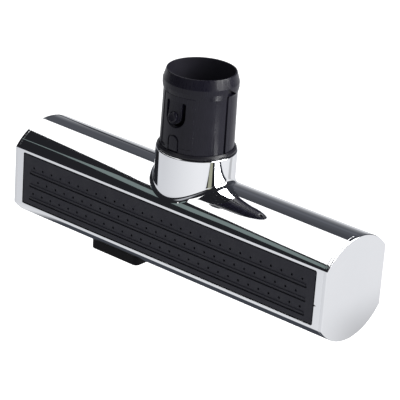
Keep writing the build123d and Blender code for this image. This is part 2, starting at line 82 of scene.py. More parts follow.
half_depth = shell_high.y
half_height = (shell_high.z - shell_low.z) / 2
axis_z = (shell_high.z + shell_low.z) / 2
shell_end = shell_high.x
bar_end = cap_high.x
flat_half = 14.5 * mm
corner_round = 0.5 * mm
least_round = 0.02 * mm
crown_wall = 2.4 * mm
flat_wall = 5.0 * mm
crown_sag = half_height - flat_half
crown_radius = (half_depth**2 + crown_sag**2) / (2 * crown_sag)
crown_offset = half_height - crown_radius
print("crown radius", round(crown_radius / mm, 2), "mm; bar axis at", round(axis_z / mm, 2), "mm")

# %% [markdown]
# ## A few mesh tools
#
# Almost every piece here is a stack of rings: rings along the bar make the shell, rings about the wand's
# axis make turned parts, and rings that shrink towards a face make a rounded edge. So one function joins
# rings with quads, and short ones write the rings. Others cut one mesh with another, merge pieces that
# don't touch, and round the corners of an outline. The last sets the shading: smooth where a surface bends,
# sharp at real edges, and weighted by area so that flats stay flat beside roundings.

# %% Rings into a mesh
def mesh_object(name, points, faces):
    """New object from points and faces, with its normals turned outward."""
    mesh = bpy.data.meshes.new(name)
    mesh.from_pydata([tuple(p) for p in points], [], faces)
    mesh.update()
    piece = bpy.data.objects.new(name, mesh)
    scene.collection.objects.link(piece)
    if signed_volume(mesh) < 0:
        mesh.flip_normals()
    return piece


def signed_volume(mesh):
    """Volume inside a closed mesh; it is negative where the faces look inward."""
    mesh.calc_loop_triangles()
    points = np.array([v.co for v in mesh.vertices])
    corners = points[np.array([t.vertices for t in mesh.loop_triangles])]
    return float(np.einsum("ij,ij->i", corners[:, 0], np.cross(corners[:, 1], corners[:, 2])).sum() / 6)


def stack(name, rings, closed=False):
    """Joins rings of equally many points with quads; the two ends are capped unless the stack is closed."""
    count = len(rings[0])
    points = np.concatenate([np.asarray(ring, float) for ring in rings])
    faces = []
    steps = len(rings) if closed else len(rings) - 1
    for row in range(steps):
        this, after = row * count, (row + 1) % len(rings) * count
        for i in range(count):
            j = (i + 1) % count
            faces.append((this + i, this + j, after + j, after + i))
    if not closed:
        faces.append(tuple(reversed(range(count))))
        faces.append(tuple(range((len(rings) - 1) * count, len(rings) * count)))
    return mesh_object(name, points, faces)


print("made the tool that stacks rings")

# %% Cutting, joining and copying
def bake(piece):
    """Turns a piece's modifiers into plain mesh."""
    shown = piece.evaluated_get(bpy.context.evaluated_depsgraph_get())
    made = bpy.data.meshes.new_from_object(shown)
    piece.modifiers.clear()
    piece.data = made
    return piece


def combine(piece, other, operation="DIFFERENCE"):
    """Exact cut, union or intersection; the other mesh is used up."""
    step = piece.modifiers.new("combine", "BOOLEAN")
    step.operation = operation
    step.solver = "EXACT"
    step.object = other
    bake(piece)
    bpy.data.objects.remove(other)
    return piece


def merge(name, parts):
    """One object from several that don't touch."""
    points, faces = [], []
    for part in parts:
        first = len(points)
        points += [tuple(v.co) for v in part.data.vertices]
        faces += [tuple(first + i for i in f.vertices) for f in part.data.polygons]
        bpy.data.objects.remove(part)
    return mesh_object(name, points, faces)


face_weight = 75


def finish_shading(piece, angle=30):
    """Smooth shading, sharp above an angle, with normals weighted by area."""
    piece.data.shade_smooth()
    piece.data.set_sharp_from_angle(angle=math.radians(angle))
    weigh = piece.modifiers.new("weigh", "WEIGHTED_NORMAL")
    weigh.keep_sharp = True
    weigh.weight = face_weight
    return bake(piece)


print("normals are weighted by area at", face_weight)

# %% Outlines with round corners
longest_share = 0.49
straight = math.radians(89)


def round_corners(corners, radii, steps=5):
    """Closed outline in two dimensions whose corners become arcs; a radius of zero keeps the corner."""
    outline = []
    count = len(corners)
    for i in range(count):
        here = np.array(corners[i], float)
        back = np.array(corners[i - 1], float) - here
        ahead = np.array(corners[(i + 1) % count], float) - here
        radius = radii[i] if hasattr(radii, "__len__") else radii
        back_long, ahead_long = np.linalg.norm(back), np.linalg.norm(ahead)
        back, ahead = back / back_long, ahead / ahead_long
        half_angle = math.acos(np.clip(back @ ahead, -1, 1)) / 2
        reach = radius / math.tan(half_angle) if radius else 0
        limit = longest_share * min(back_long, ahead_long)
        if reach > limit:
            reach, radius = limit, limit * math.tan(half_angle)
        if radius == 0 or half_angle > straight:
            outline.append(here)
            continue
        middle = here + (back + ahead) / np.linalg.norm(back + ahead) * radius / math.sin(half_angle)
        first, last = here + back * reach - middle, here + ahead * reach - middle
        swing = math.pi - 2 * half_angle
        for share in np.linspace(0, 1, steps + 1):
            mixed = first * math.sin((1 - share) * swing) + last * math.sin(share * swing)
            outline.append(middle + mixed / math.sin(swing))
    return np.array(outline)


def rounded_box(length, height, radius, steps=8):
    """Rectangle with round corners, centred on zero."""
    x, z = length / 2, height / 2
    return round_corners([(-x, -z), (x, -z), (x, z), (-x, z)], radius, steps)


hair = 1.0001


def stadium(length, height, steps=24):
    """Slot outline with half-round ends, centred on zero and a hair taller than it is said to be."""
    return rounded_box(length, height * hair, height / 2, steps)


def face_ring(outline, y, x=0.0, z=0.0):
    """An outline in X and Z as a ring of points at one depth."""
    return np.array([(x + px, y, z + pz) for px, pz in outline])


def turned_ring(radius, height, turns):
    """Points about the wand's axis; turns are angles from -Y towards +X."""
    return np.stack([radius * np.sin(turns), -radius * np.cos(turns), height * np.ones_like(turns)], axis=1)


def turn(name, profile, segments=192):
    """Solid of revolution about the wand's axis from a closed profile of (radius, height) points."""
    turns = np.linspace(0, 2 * math.pi, segments, endpoint=False)
    return stack(name, [turned_ring(r, z, turns) for r, z in profile], closed=True)


print("a stadium has", len(stadium(10 * mm, 2 * mm)), "points")

# %% [markdown]
# ## Finishes
#
# A finish is a small network of nodes: a pattern in the object's own coordinates, the colour and roughness
# that it varies, and a fine bump. Coordinates are in metres, so the pattern's scale is one over the size of
# its grain. Whatever is the same all over a surface is set straight on the shader.

# %% Node helper
def add(tree, kind, sockets=None, **settings):
    """Adds a node; a socket's value is linked if it is another node's output, and set otherwise."""
    made = tree.nodes.new(kind)
    for key, value in settings.items():
        setattr(made, key, value)
    for key, value in (sockets or {}).items():
        if isinstance(value, bpy.types.NodeSocket):
            tree.links.new(value, made.inputs[key])
        else:
            made.inputs[key].default_value = value
    return made


def new_finish(name):
    """Empty material with its shader; returns the material, its tree, the shader and the coordinates."""
    material = bpy.data.materials.new(name)
    material.use_nodes = True
    tree = material.node_tree
    shader = tree.nodes["Principled BSDF"]
    place = add(tree, "ShaderNodeTexCoord").outputs["Object"]
    return material, tree, shader, place


def grain(tree, place, size, detail=2.0, stretch=(1, 1, 1)):
    """Noise whose grain has a size in metres; stretch lengthens the grain along each axis."""
    fitted = add(tree, "ShaderNodeMapping", {"Vector": place, "Scale": [1 / (size * s) for s in stretch]})
    sockets = {"Vector": fitted.outputs["Vector"], "Scale": 1.0, "Detail": detail}
    return add(tree, "ShaderNodeTexNoise", sockets).outputs["Fac"]


def spread(tree, value, low, high, start=0.3, stop=0.7):
    """Spreads a pattern over a range of values."""
    sockets = {"Value": value, "From Min": start, "From Max": stop, "To Min": low, "To Max": high}
    return add(tree, "ShaderNodeMapRange", sockets).outputs["Result"]


def shade(tree, value, dark, light):
    """Mixes two colours by a pattern; each is a plain colour or another node's output."""
    sockets = {"Factor": value}
    for key, colour in (("A", dark), ("B", light)):
        sockets[key] = colour if isinstance(colour, bpy.types.NodeSocket) else (*colour, 1)
    return add(tree, "ShaderNodeMix", sockets, data_type="RGBA").outputs["Result"]


def bump(tree, shader, height, depth, under=None):
    """Bump of a depth in metres on the shader; returns its normal for a second one over it."""
    sockets = {"Height": height, "Distance": depth, "Strength": 1.0}
    if under is not None:
        sockets["Normal"] = under
    made = add(tree, "ShaderNodeBump", sockets)
    tree.links.new(made.outputs["Normal"], shader.inputs["Normal"])
    return made.outputs["Normal"]


print("materials so far:", len(bpy.data.materials))

# %% [markdown]
# ### Bright chrome
#
# Decorative chrome is a mirror with a faint blue cast. What keeps it from looking like a drawing is small:
# the plating follows the casting below, so reflections waver by a fraction of a degree, and handling leaves
# a haze that is a little rougher in soft patches. Both come from noise, one broad and one fine. The end
# caps get a copy that mirrors a touch less, which is painted shade that darkens their reflection, so the
# finish is a function of how much it mirrors.

# %% Chrome
chrome_tones = ((0.86, 0.87, 0.885), (0.91, 0.915, 0.925))


def make_chrome(name, share=1.0):
    """Plated metal; a share under 1 mirrors less."""
    material, tree, shader, place = new_finish(name)
    haze = grain(tree, place, 22 * mm, detail=3)
    dark, light = [[share * part for part in tone] for tone in chrome_tones]
    tree.links.new(shade(tree, haze, dark, light), shader.inputs["Base Color"])
    tree.links.new(spread(tree, haze, 0.02, 0.055), shader.inputs["Roughness"])
    shader.inputs["Metallic"].default_value = 1.0
    waver = grain(tree, place, 9 * mm, detail=1)
    under = bump(tree, shader, waver, 0.004 * mm)
    bump(tree, shader, grain(tree, place, 0.4 * mm, detail=2), 0.00012 * mm, under)
    return material


chrome = make_chrome("bright_chrome")
# painted shade: the caps' chrome mirrors 94 percent as much, so their reflection comes out darker
cap_chrome_painted_shade = make_chrome("cap_chrome_painted_shade", 0.94)
print("made", chrome.name, "and", cap_chrome_painted_shade.name)

# %% [markdown]
# ### Cast metal inside
#
# Inside, the bar is bare casting: dull grey, with the fine pitting of a die. Screws and the clip are
# brushed steel, brighter and finer. Both are metals whose colour and roughness follow one cloud of noise,
# and only the sizes of cloud and grain tell them apart.

# %% Cast metal and steel
def make_casting():
    """Bare metal with pits."""
    material, tree, shader, place = new_finish("bare_casting")
    cloud = grain(tree, place, 6 * mm, detail=6)
    tree.links.new(shade(tree, cloud, (0.20, 0.20, 0.205), (0.34, 0.34, 0.345)), shader.inputs["Base Color"])
    tree.links.new(spread(tree, cloud, 0.38, 0.6), shader.inputs["Roughness"])
    shader.inputs["Metallic"].default_value = 1.0
    bump(tree, shader, grain(tree, place, 0.5 * mm, detail=5), 0.03 * mm)
    return material


def make_steel():
    """Bright steel with a fine grain."""
    material, tree, shader, place = new_finish("brushed_steel")
    cloud = grain(tree, place, 1.5 * mm, detail=4)
    tree.links.new(shade(tree, cloud, (0.50, 0.50, 0.52), (0.66, 0.66, 0.67)), shader.inputs["Base Color"])
    tree.links.new(spread(tree, cloud, 0.22, 0.38), shader.inputs["Roughness"])
    shader.inputs["Metallic"].default_value = 1.0
    bump(tree, shader, grain(tree, place, 0.25 * mm, detail=3), 0.004 * mm)
    return material


casting = make_casting()
steel = make_steel()
print("made", casting.name, "and", steel.name)

# %% [markdown]
# ### Black plastics and rubber
#
# Several blacks sit side by side, and they would merge into one blot if they were the same. The wand
# connector is glossy moulded plastic with faint flow lines along its length. Its bore is duller and also a
# lighter grey, which is painted light that brightens the inside of the sleeve. The bush is satin. The slide
# and the suction plate have the matt, spark-eroded grain of a tool left unpolished. The front pad is
# rubber: softer highlights, a powdery bloom and a fine leathery grain. They differ only in a few numbers,
# so one function makes them all.

# %% Black finishes
cool, violet, blue = (1, 0.96, 1.32), (1, 0.92, 1.8), (1, 1.0, 1.7)


def make_black(name, dark, light, rough, grain_size, grain_depth, specular=0.4, flow=0.0, tint=cool):
    """Black plastic or rubber: two tinted greys, a range of roughness, a grain and perhaps flow lines."""
    material, tree, shader, place = new_finish(name)
    cloud = grain(tree, place, 7 * mm, detail=4)
    colour = shade(tree, cloud, [dark * t for t in tint], [light * t for t in tint])
    tree.links.new(colour, shader.inputs["Base Color"])
    if flow:
        cloud = grain(tree, place, 1.1 * mm, detail=3, stretch=(1, 1, 30))
    tree.links.new(spread(tree, cloud, *rough), shader.inputs["Roughness"])
    shader.inputs["Specular IOR Level"].default_value = specular
    under = bump(tree, shader, grain(tree, place, grain_size, detail=3), grain_depth)
    if flow:
        bump(tree, shader, cloud, flow, under)
    return material


gloss_black = make_black(
    "moulded_black", 0.0052, 0.0078, (0.24, 0.36), 0.35 * mm, 0.0012 * mm, 0.25, flow=0.004 * mm, tint=violet)
satin_black = make_black("satin_black", 0.008, 0.011, (0.26, 0.34), 0.3 * mm, 0.003 * mm, 0.3)
# painted light: the bore's black is a lighter grey so that the inside of the sleeve looks brighter
bore_black_painted_light = make_black("bore_black_painted_light", 0.0115, 0.015, (0.40, 0.52), 0.3 * mm, 0.004 * mm, 0.12)
matt_black = make_black("grained_black", 0.008, 0.012, (0.34, 0.46), 0.28 * mm, 0.012 * mm, 0.3)
slide_black = make_black("slide_black", 0.003, 0.0045, (0.34, 0.44), 0.28 * mm, 0.010 * mm, 0.08)
rubber = make_black("ribbed_rubber", 0.0102, 0.0153, (0.50, 0.64), 0.22 * mm, 0.020 * mm, tint=blue)
seal_rubber = make_black("lip_rubber", 0.012, 0.02, (0.45, 0.6), 0.3 * mm, 0.01 * mm)
blacks = (gloss_black, satin_black, bore_black_painted_light, matt_black, slide_black, rubber, seal_rubber)
print("made", ", ".join(m.name for m in blacks))

# %% [markdown]
# ### Pile and slippery plastic
#
# The lint strips are dyed pile. Fibres scatter light at a grazing angle, which the shader's sheen gives,
# and the fibres themselves are geometry later on. The washer and the slide's retainer are a waxy off-white
# plastic that needs no oil: little contrast, a soft gloss and a shallow grain.

# %% Pile and slippery plastic
def make_pile():
    """Dyed fibres with sheen."""
    material, tree, shader, place = new_finish("red_pile")
    cloud = grain(tree, place, 0.5 * mm, detail=4)
    tree.links.new(shade(tree, cloud, (0.16, 0.012, 0.016), (0.34, 0.03, 0.035)), shader.inputs["Base Color"])
    shader.inputs["Roughness"].default_value = 0.9
    shader.inputs["Sheen Weight"].default_value = 0.35
    shader.inputs["Sheen Roughness"].default_value = 0.4
    bump(tree, shader, cloud, 0.05 * mm)
    return material


def make_slip_plastic():
    """Waxy off-white plastic."""
    material, tree, shader, place = new_finish("white_slip_plastic")
    cloud = grain(tree, place, 4 * mm, detail=3)
    tree.links.new(shade(tree, cloud, (0.66, 0.63, 0.56), (0.76, 0.73, 0.66)), shader.inputs["Base Color"])
    tree.links.new(spread(tree, cloud, 0.35, 0.5), shader.inputs["Roughness"])
    bump(tree, shader, grain(tree, place, 0.3 * mm), 0.006 * mm)
    return material


pile = make_pile()
slip_plastic = make_slip_plastic()
print("made", pile.name, "and", slip_plastic.name)

# %% [markdown]
# ## The bar's outline
#
# Everything along the bar repeats one outline, so it is a function: how far the outline is set in, how deep
# its flats stand and how round its four creases are. It always returns equally many points, which lets two
# outlines of different size be joined into a rounded rim.

# %% Outline of the bar
def bar_outline(inset=0.0, depth=half_depth, crease=corner_round, arc_steps=80, crease_steps=6):
    """Closed outline in Y and Z of the bar, set in from its outer surface; depth is the flats' distance."""
    side = depth - inset
    radius = crown_radius - inset
    round_off = max(crease - inset, least_round)
    crease_z = crown_offset + math.sqrt((radius - round_off) ** 2 - (side - round_off) ** 2)
    lean = math.atan2(side - round_off, crease_z - crown_offset)
    quarter = []
    for angle in np.linspace(math.pi / 2, lean, crease_steps + 1):
        y = side - round_off + round_off * math.sin(angle)
        quarter.append((y, crease_z + round_off * math.cos(angle)))
    for angle in np.linspace(lean, 0, arc_steps // 2 + 1)[1:]:
        quarter.append((radius * math.sin(angle), crown_offset + radius * math.cos(angle)))
    quarter = np.array(quarter)
    top = np.concatenate([quarter, quarter[-2::-1] * (-1, 1)])
    return np.concatenate([top, top * (-1, -1)])


def bar_ring(x, inset=0.0, **shape):
    """The bar's outline as a ring of points at one place along the bar."""
    return np.array([(x, y, axis_z + z) for y, z in bar_outline(inset, **shape)])


print("the bar's outline has", len(bar_outline()), "points")

# %% [markdown]
# ## The bar's shell
#
# The real shell is a hollow profile, cut to length and plated. It could be one closed mesh typed in by
# hand, but it is easier to make the way a workshop does: a solid bar first, then its cavity, and then every
# pocket and hole as a cutter. The cutters flare at the mouth, so each opening gets the small round edge
# that plating always has, and the rounding catches a thin line of light.

# %% Solid bar with eased ends
end_ease = 0.12 * mm
cavity_depth = half_depth - flat_wall + crown_wall


def eased_bar(name, start, end, ease, **shape):
    """Bar between two places whose two end edges are rounded by a radius."""
    rings = []
    for share in np.linspace(math.pi / 2, 0, 4):
        rings.append(bar_ring(start + ease * (1 - math.sin(share)), ease * (1 - math.cos(share)), **shape))
    for share in np.linspace(0, math.pi / 2, 4):
        rings.append(bar_ring(end - ease * (1 - math.sin(share)), ease * (1 - math.cos(share)), **shape))
    return stack(name, rings)


def cavity_block(name, start, end, grow=0.0):
    """The cavity between two places, grown outward by a margin."""
    rings = [bar_ring(x, crown_wall - grow, depth=cavity_depth) for x in (start, end)]
    return stack(name, rings)


print("half depth", round(half_depth / mm, 2), "mm, inside", round((half_depth - flat_wall) / mm, 2), "mm")

# %% Cutters with a flared mouth
def flared_cutter(name, outline_at, face_y, floor_y, ease, x=0.0, z=0.0):
    """Cutter from beyond a face to a floor; outline_at(grow) gives its outline, which flares at the face."""
    into = 1 if floor_y > face_y else -1
    rings = [face_ring(outline_at(ease), face_y - into * ease, x, z)]
    for share in np.linspace(0, math.pi / 2, 5):
        grow = ease * (1 - math.sin(share))
        rings.append(face_ring(outline_at(grow), face_y + into * ease * (1 - math.cos(share)), x, z))
    rings.append(face_ring(outline_at(0), floor_y, x, z))
    return stack(name, rings)


def box_cutter(name, low, high):
    """Plain box between two corners, for openings that nobody sees the edge of."""
    (x0, y0, z0), (x1, y1, z1) = low, high
    rings = [[(x0, y, z0), (x1, y, z0), (x1, y, z1), (x0, y, z1)] for y in (y0, y1)]
    return stack(name, rings)


def rod(name, radius, y0, y1, x, z, steps=48):
    """Round bar along Y."""
    turns = np.linspace(0, 2 * math.pi, steps, endpoint=False)
    outline = np.stack([radius * np.cos(turns), radius * np.sin(turns)], axis=1)
    return stack(name, [face_ring(outline, y, x, z) for y in (y0, y1)])


print("made three kinds of cutter")

# %% [markdown]
# The pockets follow the pieces that sit in them: the pad in front and the suction plate behind, each with a
# small gap all round. The pad's carrier snaps through windows in the pocket's floor, and the plate's screws
# go into bosses inside the bar.

# %% Sizes of the pockets
pad_gap = 0.3 * mm
pad_corner = 0.9 * mm
pad_length = pad_high.x - pad_low.x
pad_height = pad_high.z - pad_low.z
pocket_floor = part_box("pad_sealing_sheet")[1].y
plate_gap = 0.2 * mm
plate_corner = 2.0 * mm
plate_length = plate_high.x - plate_low.x
plate_height = plate_high.z - plate_low.z
plate_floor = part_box("plate_gasket")[0].y
slot_length, slot_height = 128.0 * mm, 8.0 * mm
window_margin = 1.5 * mm
print("pad", round(pad_length / mm, 1), "x", round(pad_height / mm, 1), "mm")

# %% Places of hooks and screws
def evenly(count, span):
    """Equally spaced places over a span, centred on zero."""
    return [span * i / (count - 1) - span / 2 for i in range(count)]


screws_low, screws_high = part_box("plate_screws")
head_radius = 2.7 * mm
shank_radius = 1.45 * mm
screw_x = (screws_high.x - screws_low.x) / 2 - head_radius
screw_z = (screws_high.z - screws_low.z) / 2 - head_radius
screw_places = [(x, axis_z + z) for x in (-screw_x, screw_x) for z in (-screw_z, screw_z)]
hook_span, hook_height = 150 * mm, 8 * mm
hook_places = [(x, axis_z + z) for x in evenly(4, hook_span) for z in (-hook_height, hook_height)]
print(len(screw_places), "screws and", len(hook_places), "hooks")

# %% Cut the shell
pocket_ease = 0.18 * mm
past = 2 * mm
rebate_depth = 1.1 * mm
window_half_length, window_half_height, window_start = 2.8 * mm, 1.8 * mm, 2 * mm
boss_radius, boss_height, boss_sink = 3.25 * mm, 5 * mm, 1 * mm
screw_hole_depth = 11 * mm


def pocket(length, height, gap, corner):
    """Outline function of a pocket round a piece, for a flared cutter."""
    def outline(grow):
        return rounded_box(length + 2 * (gap + grow), height + 2 * (gap + grow), corner + grow)
    return outline


def hook_window(x, z):
    """Cutter of one window in the pad pocket's floor."""
    low = (x - window_half_length, -half_depth + window_start, z - window_half_height)
    high = (x + window_half_length, -half_depth + flat_wall + past, z + window_half_height)
    return box_cutter("window", low, high)


def make_shell():
    """Bar with its cavity, rebates, pockets, windows, slot and bosses."""
    shell = eased_bar("bar_shell_chrome", -shell_end, shell_end, end_ease)
    combine(shell, cavity_block("cavity", -shell_end - past, shell_end + past))
    rebate_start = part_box("right_cap_gasket")[0].x
    for side in (-1, 1):
        rebate = cavity_block("rebate", side * rebate_start, side * (shell_end + past), grow=rebate_depth)
        combine(shell, rebate)
    pad_pocket = pocket(pad_length, pad_height, pad_gap, pad_corner)
    combine(shell, flared_cutter("pocket", pad_pocket, -half_depth, pocket_floor, pocket_ease, z=axis_z))
    plate_pocket = pocket(plate_length, plate_height, plate_gap, plate_corner)
    combine(shell, flared_cutter("pocket", plate_pocket, half_depth, plate_floor, pocket_ease, z=axis_z))
    combine(shell, merge("windows", [hook_window(x, z) for x, z in hook_places]))
    wall_inside = half_depth - flat_wall
    slot = stadium(slot_length + 2 * window_margin, slot_height + 2 * window_margin)
    combine(shell, stack("slot", [face_ring(slot, y, z=axis_z) for y in (wall_inside - past, half_depth)]))
    boss = (boss_radius, wall_inside - boss_height, wall_inside + boss_sink)
    combine(shell, merge("bosses", [rod("boss", *boss, x, z) for x, z in screw_places]), "UNION")
    hole = (shank_radius, half_depth - screw_hole_depth, half_depth)
    combine(shell, merge("holes", [rod("hole", *hole, x, z) for x, z in screw_places]))
    return shell


shell = make_shell()
print("shell:", len(shell.data.polygons), "faces")

# %% [markdown]
# The neck stands over a round hole in the crown, and the slide's stem runs in a slot in the underside. The
# slot is as long as the stem and its travel. The small three-cornered nick at the pad's right edge is where
# a blade lifts the pad out of its pocket.

# %% Neck hole, slide slot and nick
neck_radius = 19.0 * mm
neck_bore = 17.4 * mm
neck_tail = 18.2 * mm
neck_hole_foot = axis_z + 16.3 * mm
tail_foot = axis_z + crown_offset + math.sqrt(crown_radius**2 - neck_bore**2)


def round_cutter(name, radius, low, high, segments=192):
    """Upright cylinder about the wand's axis."""
    turns = np.linspace(0, 2 * math.pi, segments, endpoint=False)
    return stack(name, [turned_ring(radius, z, turns) for z in (low, high)])


combine(shell, round_cutter("tail_hole", neck_tail, tail_foot, neck_high.z))
combine(shell, round_cutter("neck_hole", neck_bore, neck_hole_foot, neck_high.z))
underside = axis_z - half_height
stem_margin, stem_length, stem_half, stem_play = 5.6 * mm, 8 * mm, 3 * mm, 0.2 * mm
slide_travel = 14 * mm
slot_reach = 4 * mm
stem_left = slide_low.x + stem_margin
stem_stop = stem_left + stem_length + slide_travel + stem_play
slot_low = (stem_left - stem_play, -stem_half - stem_play, underside - past)
slot_high = (stem_stop, stem_half + stem_play, underside + slot_reach)
combine(shell, box_cutter("stem_slot", slot_low, slot_high))
nick_x, nick_z = pad_high.x + pad_gap, axis_z - 3.3 * mm
nick_reach, nick_half, nick_depth = 1.3 * mm, 0.95 * mm, 2 * mm
corners = [(-nick_reach, -nick_half), (nick_reach, 0), (-nick_reach, nick_half)]
levels = (-half_depth - 1 * mm, -half_depth + nick_depth)
combine(shell, stack("nick", [face_ring(corners, y, nick_x, nick_z) for y in levels]))
finish_shading(shell)
shell.data.materials.clear()
shell.data.materials.append(chrome)
shell.data.materials.append(casting)
print("shell:", len(shell.data.polygons), "faces after the last cut")

# %% [markdown]
# Only the outside is plated bright. The inner surfaces keep the bare casting, so each face is given a
# finish by where it lies: whatever is well inside the outline is bare.

# %% Two finishes on one shell
def inside_outline(centre, margin=0.5 * mm):
    """True if a point lies inside the bar's outer surface by more than a margin."""
    y, z = abs(centre[1]), abs(centre[2] - axis_z)
    in_flats = y < half_depth - margin
    in_crown = math.hypot(y, max(z - crown_offset, 0)) < crown_radius - margin or z < flat_half
    return in_flats and in_crown


def bare_inside(piece):
    """Gives the inner faces the second finish and returns how many they are."""
    bare = 0
    for face in piece.data.polygons:
        deep = inside_outline(face.center)
        face.material_index = 1 if deep else 0
        bare += deep
    return bare


print("bare faces on the shell:", bare_inside(shell))
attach(shell, "head")
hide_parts("bar_shell")

# %% [markdown]
# ## The neck
#
# Where the neck meets the crown there is a fillet, the path of a ball that rolls round the corner and
# touches both. Such a fillet on two crossed cylinders has a formula: the ball's centre keeps its radius
# from each surface, so its height follows from its angle. The polished corner is softer towards the front
# and the back than at the sides, so the ball grows there. The formula gives clean rows of quads and exact
# reflections, which a modelled bevel at this spot rarely does.

# %% Neck with a rolled fillet
neck_root_side, neck_root_front = 2.2 * mm, 4.6 * mm
neck_ease = 0.6 * mm
root_clear = 1 * mm


def make_neck(segments=256, root_steps=8):
    """Neck from the fillet's foot up over the rim and down the bore."""
    turns = np.linspace(0, 2 * math.pi, segments, endpoint=False)
    neck_root = neck_root_side + (neck_root_front - neck_root_side) * np.cos(turns) ** 4
    y_centre = -(neck_radius + neck_root) * np.cos(turns)
    centre_z = axis_z + crown_offset + np.sqrt((crown_radius + neck_root) ** 2 - y_centre**2)
    centres = turned_ring(neck_radius + neck_root, 0, turns)
    centres[:, 2] = centre_z
    to_neck = turned_ring(-1.0, 0, turns)
    to_crown = np.stack([0 * turns, -centres[:, 1], axis_z + crown_offset - centre_z], axis=1)
    to_crown /= np.linalg.norm(to_crown, axis=1)[:, None]
    swing = np.arccos(np.clip((to_neck * to_crown).sum(axis=1), -1, 1))[:, None]

    rings = []
    for share in np.linspace(1, 0, root_steps + 1):
        mixed = to_neck * np.sin((1 - share) * swing) + to_crown * np.sin(share * swing)
        rings.append(centres + neck_root[:, None] * mixed / np.sin(swing))
    top = neck_high.z
    for z in np.linspace(rings[-1][:, 2].max() + root_clear, top - neck_ease, 5):
        rings.append(turned_ring(neck_radius, z, turns))
    for share in np.linspace(0, math.pi / 2, 6)[1:]:
        radius = neck_radius - neck_ease * (1 - math.cos(share))
        rings.append(turned_ring(radius, top - neck_ease * (1 - math.sin(share)), turns))
    for radius, z in ((neck_bore, top), (neck_bore, tail_foot), (neck_tail, tail_foot)):
        rings.append(turned_ring(radius, z, turns))
    for radius in (neck_tail, (neck_tail + neck_radius) / 2):
        ring = turned_ring(radius, 0, turns)
        ring[:, 2] = np.maximum(axis_z + crown_offset + np.sqrt(crown_radius**2 - ring[:, 1] ** 2), tail_foot)
        rings.append(ring)
    return stack("neck_chrome", rings, closed=True)


neck = finish_shading(make_neck(), 40)
neck.data.materials.append(chrome)
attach(neck, "head")
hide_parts("neck_tube")
print("neck:", len(neck.data.polygons), "faces, top at", round(neck_high.z / mm, 2), "mm")

# %% [markdown]
# ## End caps
#
# A cap is a flat plate with the bar's outline, a rounded rim and a hollow plug that fits the bore. All of
# these share one outline at different insets, so the cap is a single stack of rings.

# %% Two caps
cap_round = 0.45 * mm
plug_gap, plug_wall = 0.1 * mm, 1.8 * mm


def make_cap(side):
    """Cap on the side -1 or 1, from the outer face inward."""
    rings = []
    for share in np.linspace(math.pi / 2, 0, 7):
        inset = cap_round * (1 - math.cos(share))
        rings.append(bar_ring(side * (bar_end - cap_round * (1 - math.sin(share))), inset))
    for share in np.linspace(0, math.pi / 2, 4):
        inset = end_ease * (1 - math.cos(share))
        rings.append(bar_ring(side * (shell_end + end_ease * (1 - math.sin(share))), inset))
    outside, inside = crown_wall + plug_gap, crown_wall + plug_gap + plug_wall
    for x, inset in ((shell_end, outside), (cap_low.x, outside), (cap_low.x, inside), (shell_end, inside)):
        rings.append(bar_ring(side * x, inset, depth=cavity_depth))
    name = ("left" if side < 0 else "right") + "_end_cap"
    cap = finish_shading(stack(name + "_chrome", rings))
    cap.data.materials.append(cap_chrome_painted_shade)
    cap.data.materials.append(casting)
    for face in cap.data.polygons:
        behind_plate = abs(face.center.x) < shell_end + 0.01 * mm
        face.material_index = 1 if behind_plate and inside_outline(face.center) else 0
    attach(cap, "head")
    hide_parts(name)
    return cap


caps = [make_cap(side) for side in (-1, 1)]
print("caps:", [len(c.data.polygons) for c in caps], "faces")

# %% [markdown]
# ## Front pad
#
# The pad is a rubber moulding with three long ribs. A narrow trough runs along the lower side of each rib
# and shows as a dark line under it, and over each rib runs a row of small blind holes; the middle row is
# shifted by half a step. A bump map would lie flat at a glancing view, so ribs, troughs and holes are all
# real geometry.

# %% Ribs, troughs and holes
rib_length, rib_width, rib_rise, rib_round = 168.8 * mm, 1.1 * mm, 0.42 * mm, 0.40 * mm
trough_width, trough_depth, trough_shift, trough_ease = 1.3 * mm, 0.6 * mm, -0.85 * mm, 0.12 * mm
trough_past_rib, rib_sink = 1.0 * mm, 0.2 * mm
rib_pitch = 6.72 * mm
first_rib = axis_z + pad_height / 2 + pad_gap - 8.5 * mm
hole_pitch, hole_diameter, hole_depth, hole_above = 5.87 * mm, 1.1 * mm, 0.8 * mm, 2.25 * mm
hole_ease = 0.08 * mm
longest_row = 29


def rib(z):
    """Rib with a rounded crest, from a little below the trough's floor up."""
    rings = [face_ring(stadium(rib_length, rib_width), -half_depth + trough_depth + rib_sink, z=z)]
    for share in np.linspace(0, math.pi / 2, 6):
        inset = rib_round * (1 - math.cos(share))
        y = -half_depth - rib_rise + rib_round * (1 - math.sin(share))
        rings.append(face_ring(stadium(rib_length - 2 * inset, rib_width - 2 * inset), y, z=z))
    return stack("rib", rings)


def trough(z):
    """Cutter of the trough, which runs along the rib's lower side."""
    def outline(grow):
        return stadium(rib_length + trough_past_rib + 2 * grow, trough_width + 2 * grow)
    floor_y = -half_depth + trough_depth
    return flared_cutter("trough", outline, -half_depth, floor_y, trough_ease, z=z + trough_shift)


def pad_hole(x, z):
    """Cutter of one blind hole with an eased mouth."""
    def outline(grow):
        turns = np.linspace(0, 2 * math.pi, 28, endpoint=False)
        return (hole_diameter / 2 + grow) * np.stack([np.cos(turns), np.sin(turns)], axis=1)
    return flared_cutter("hole", outline, -half_depth, -half_depth + hole_depth, hole_ease, x, z)


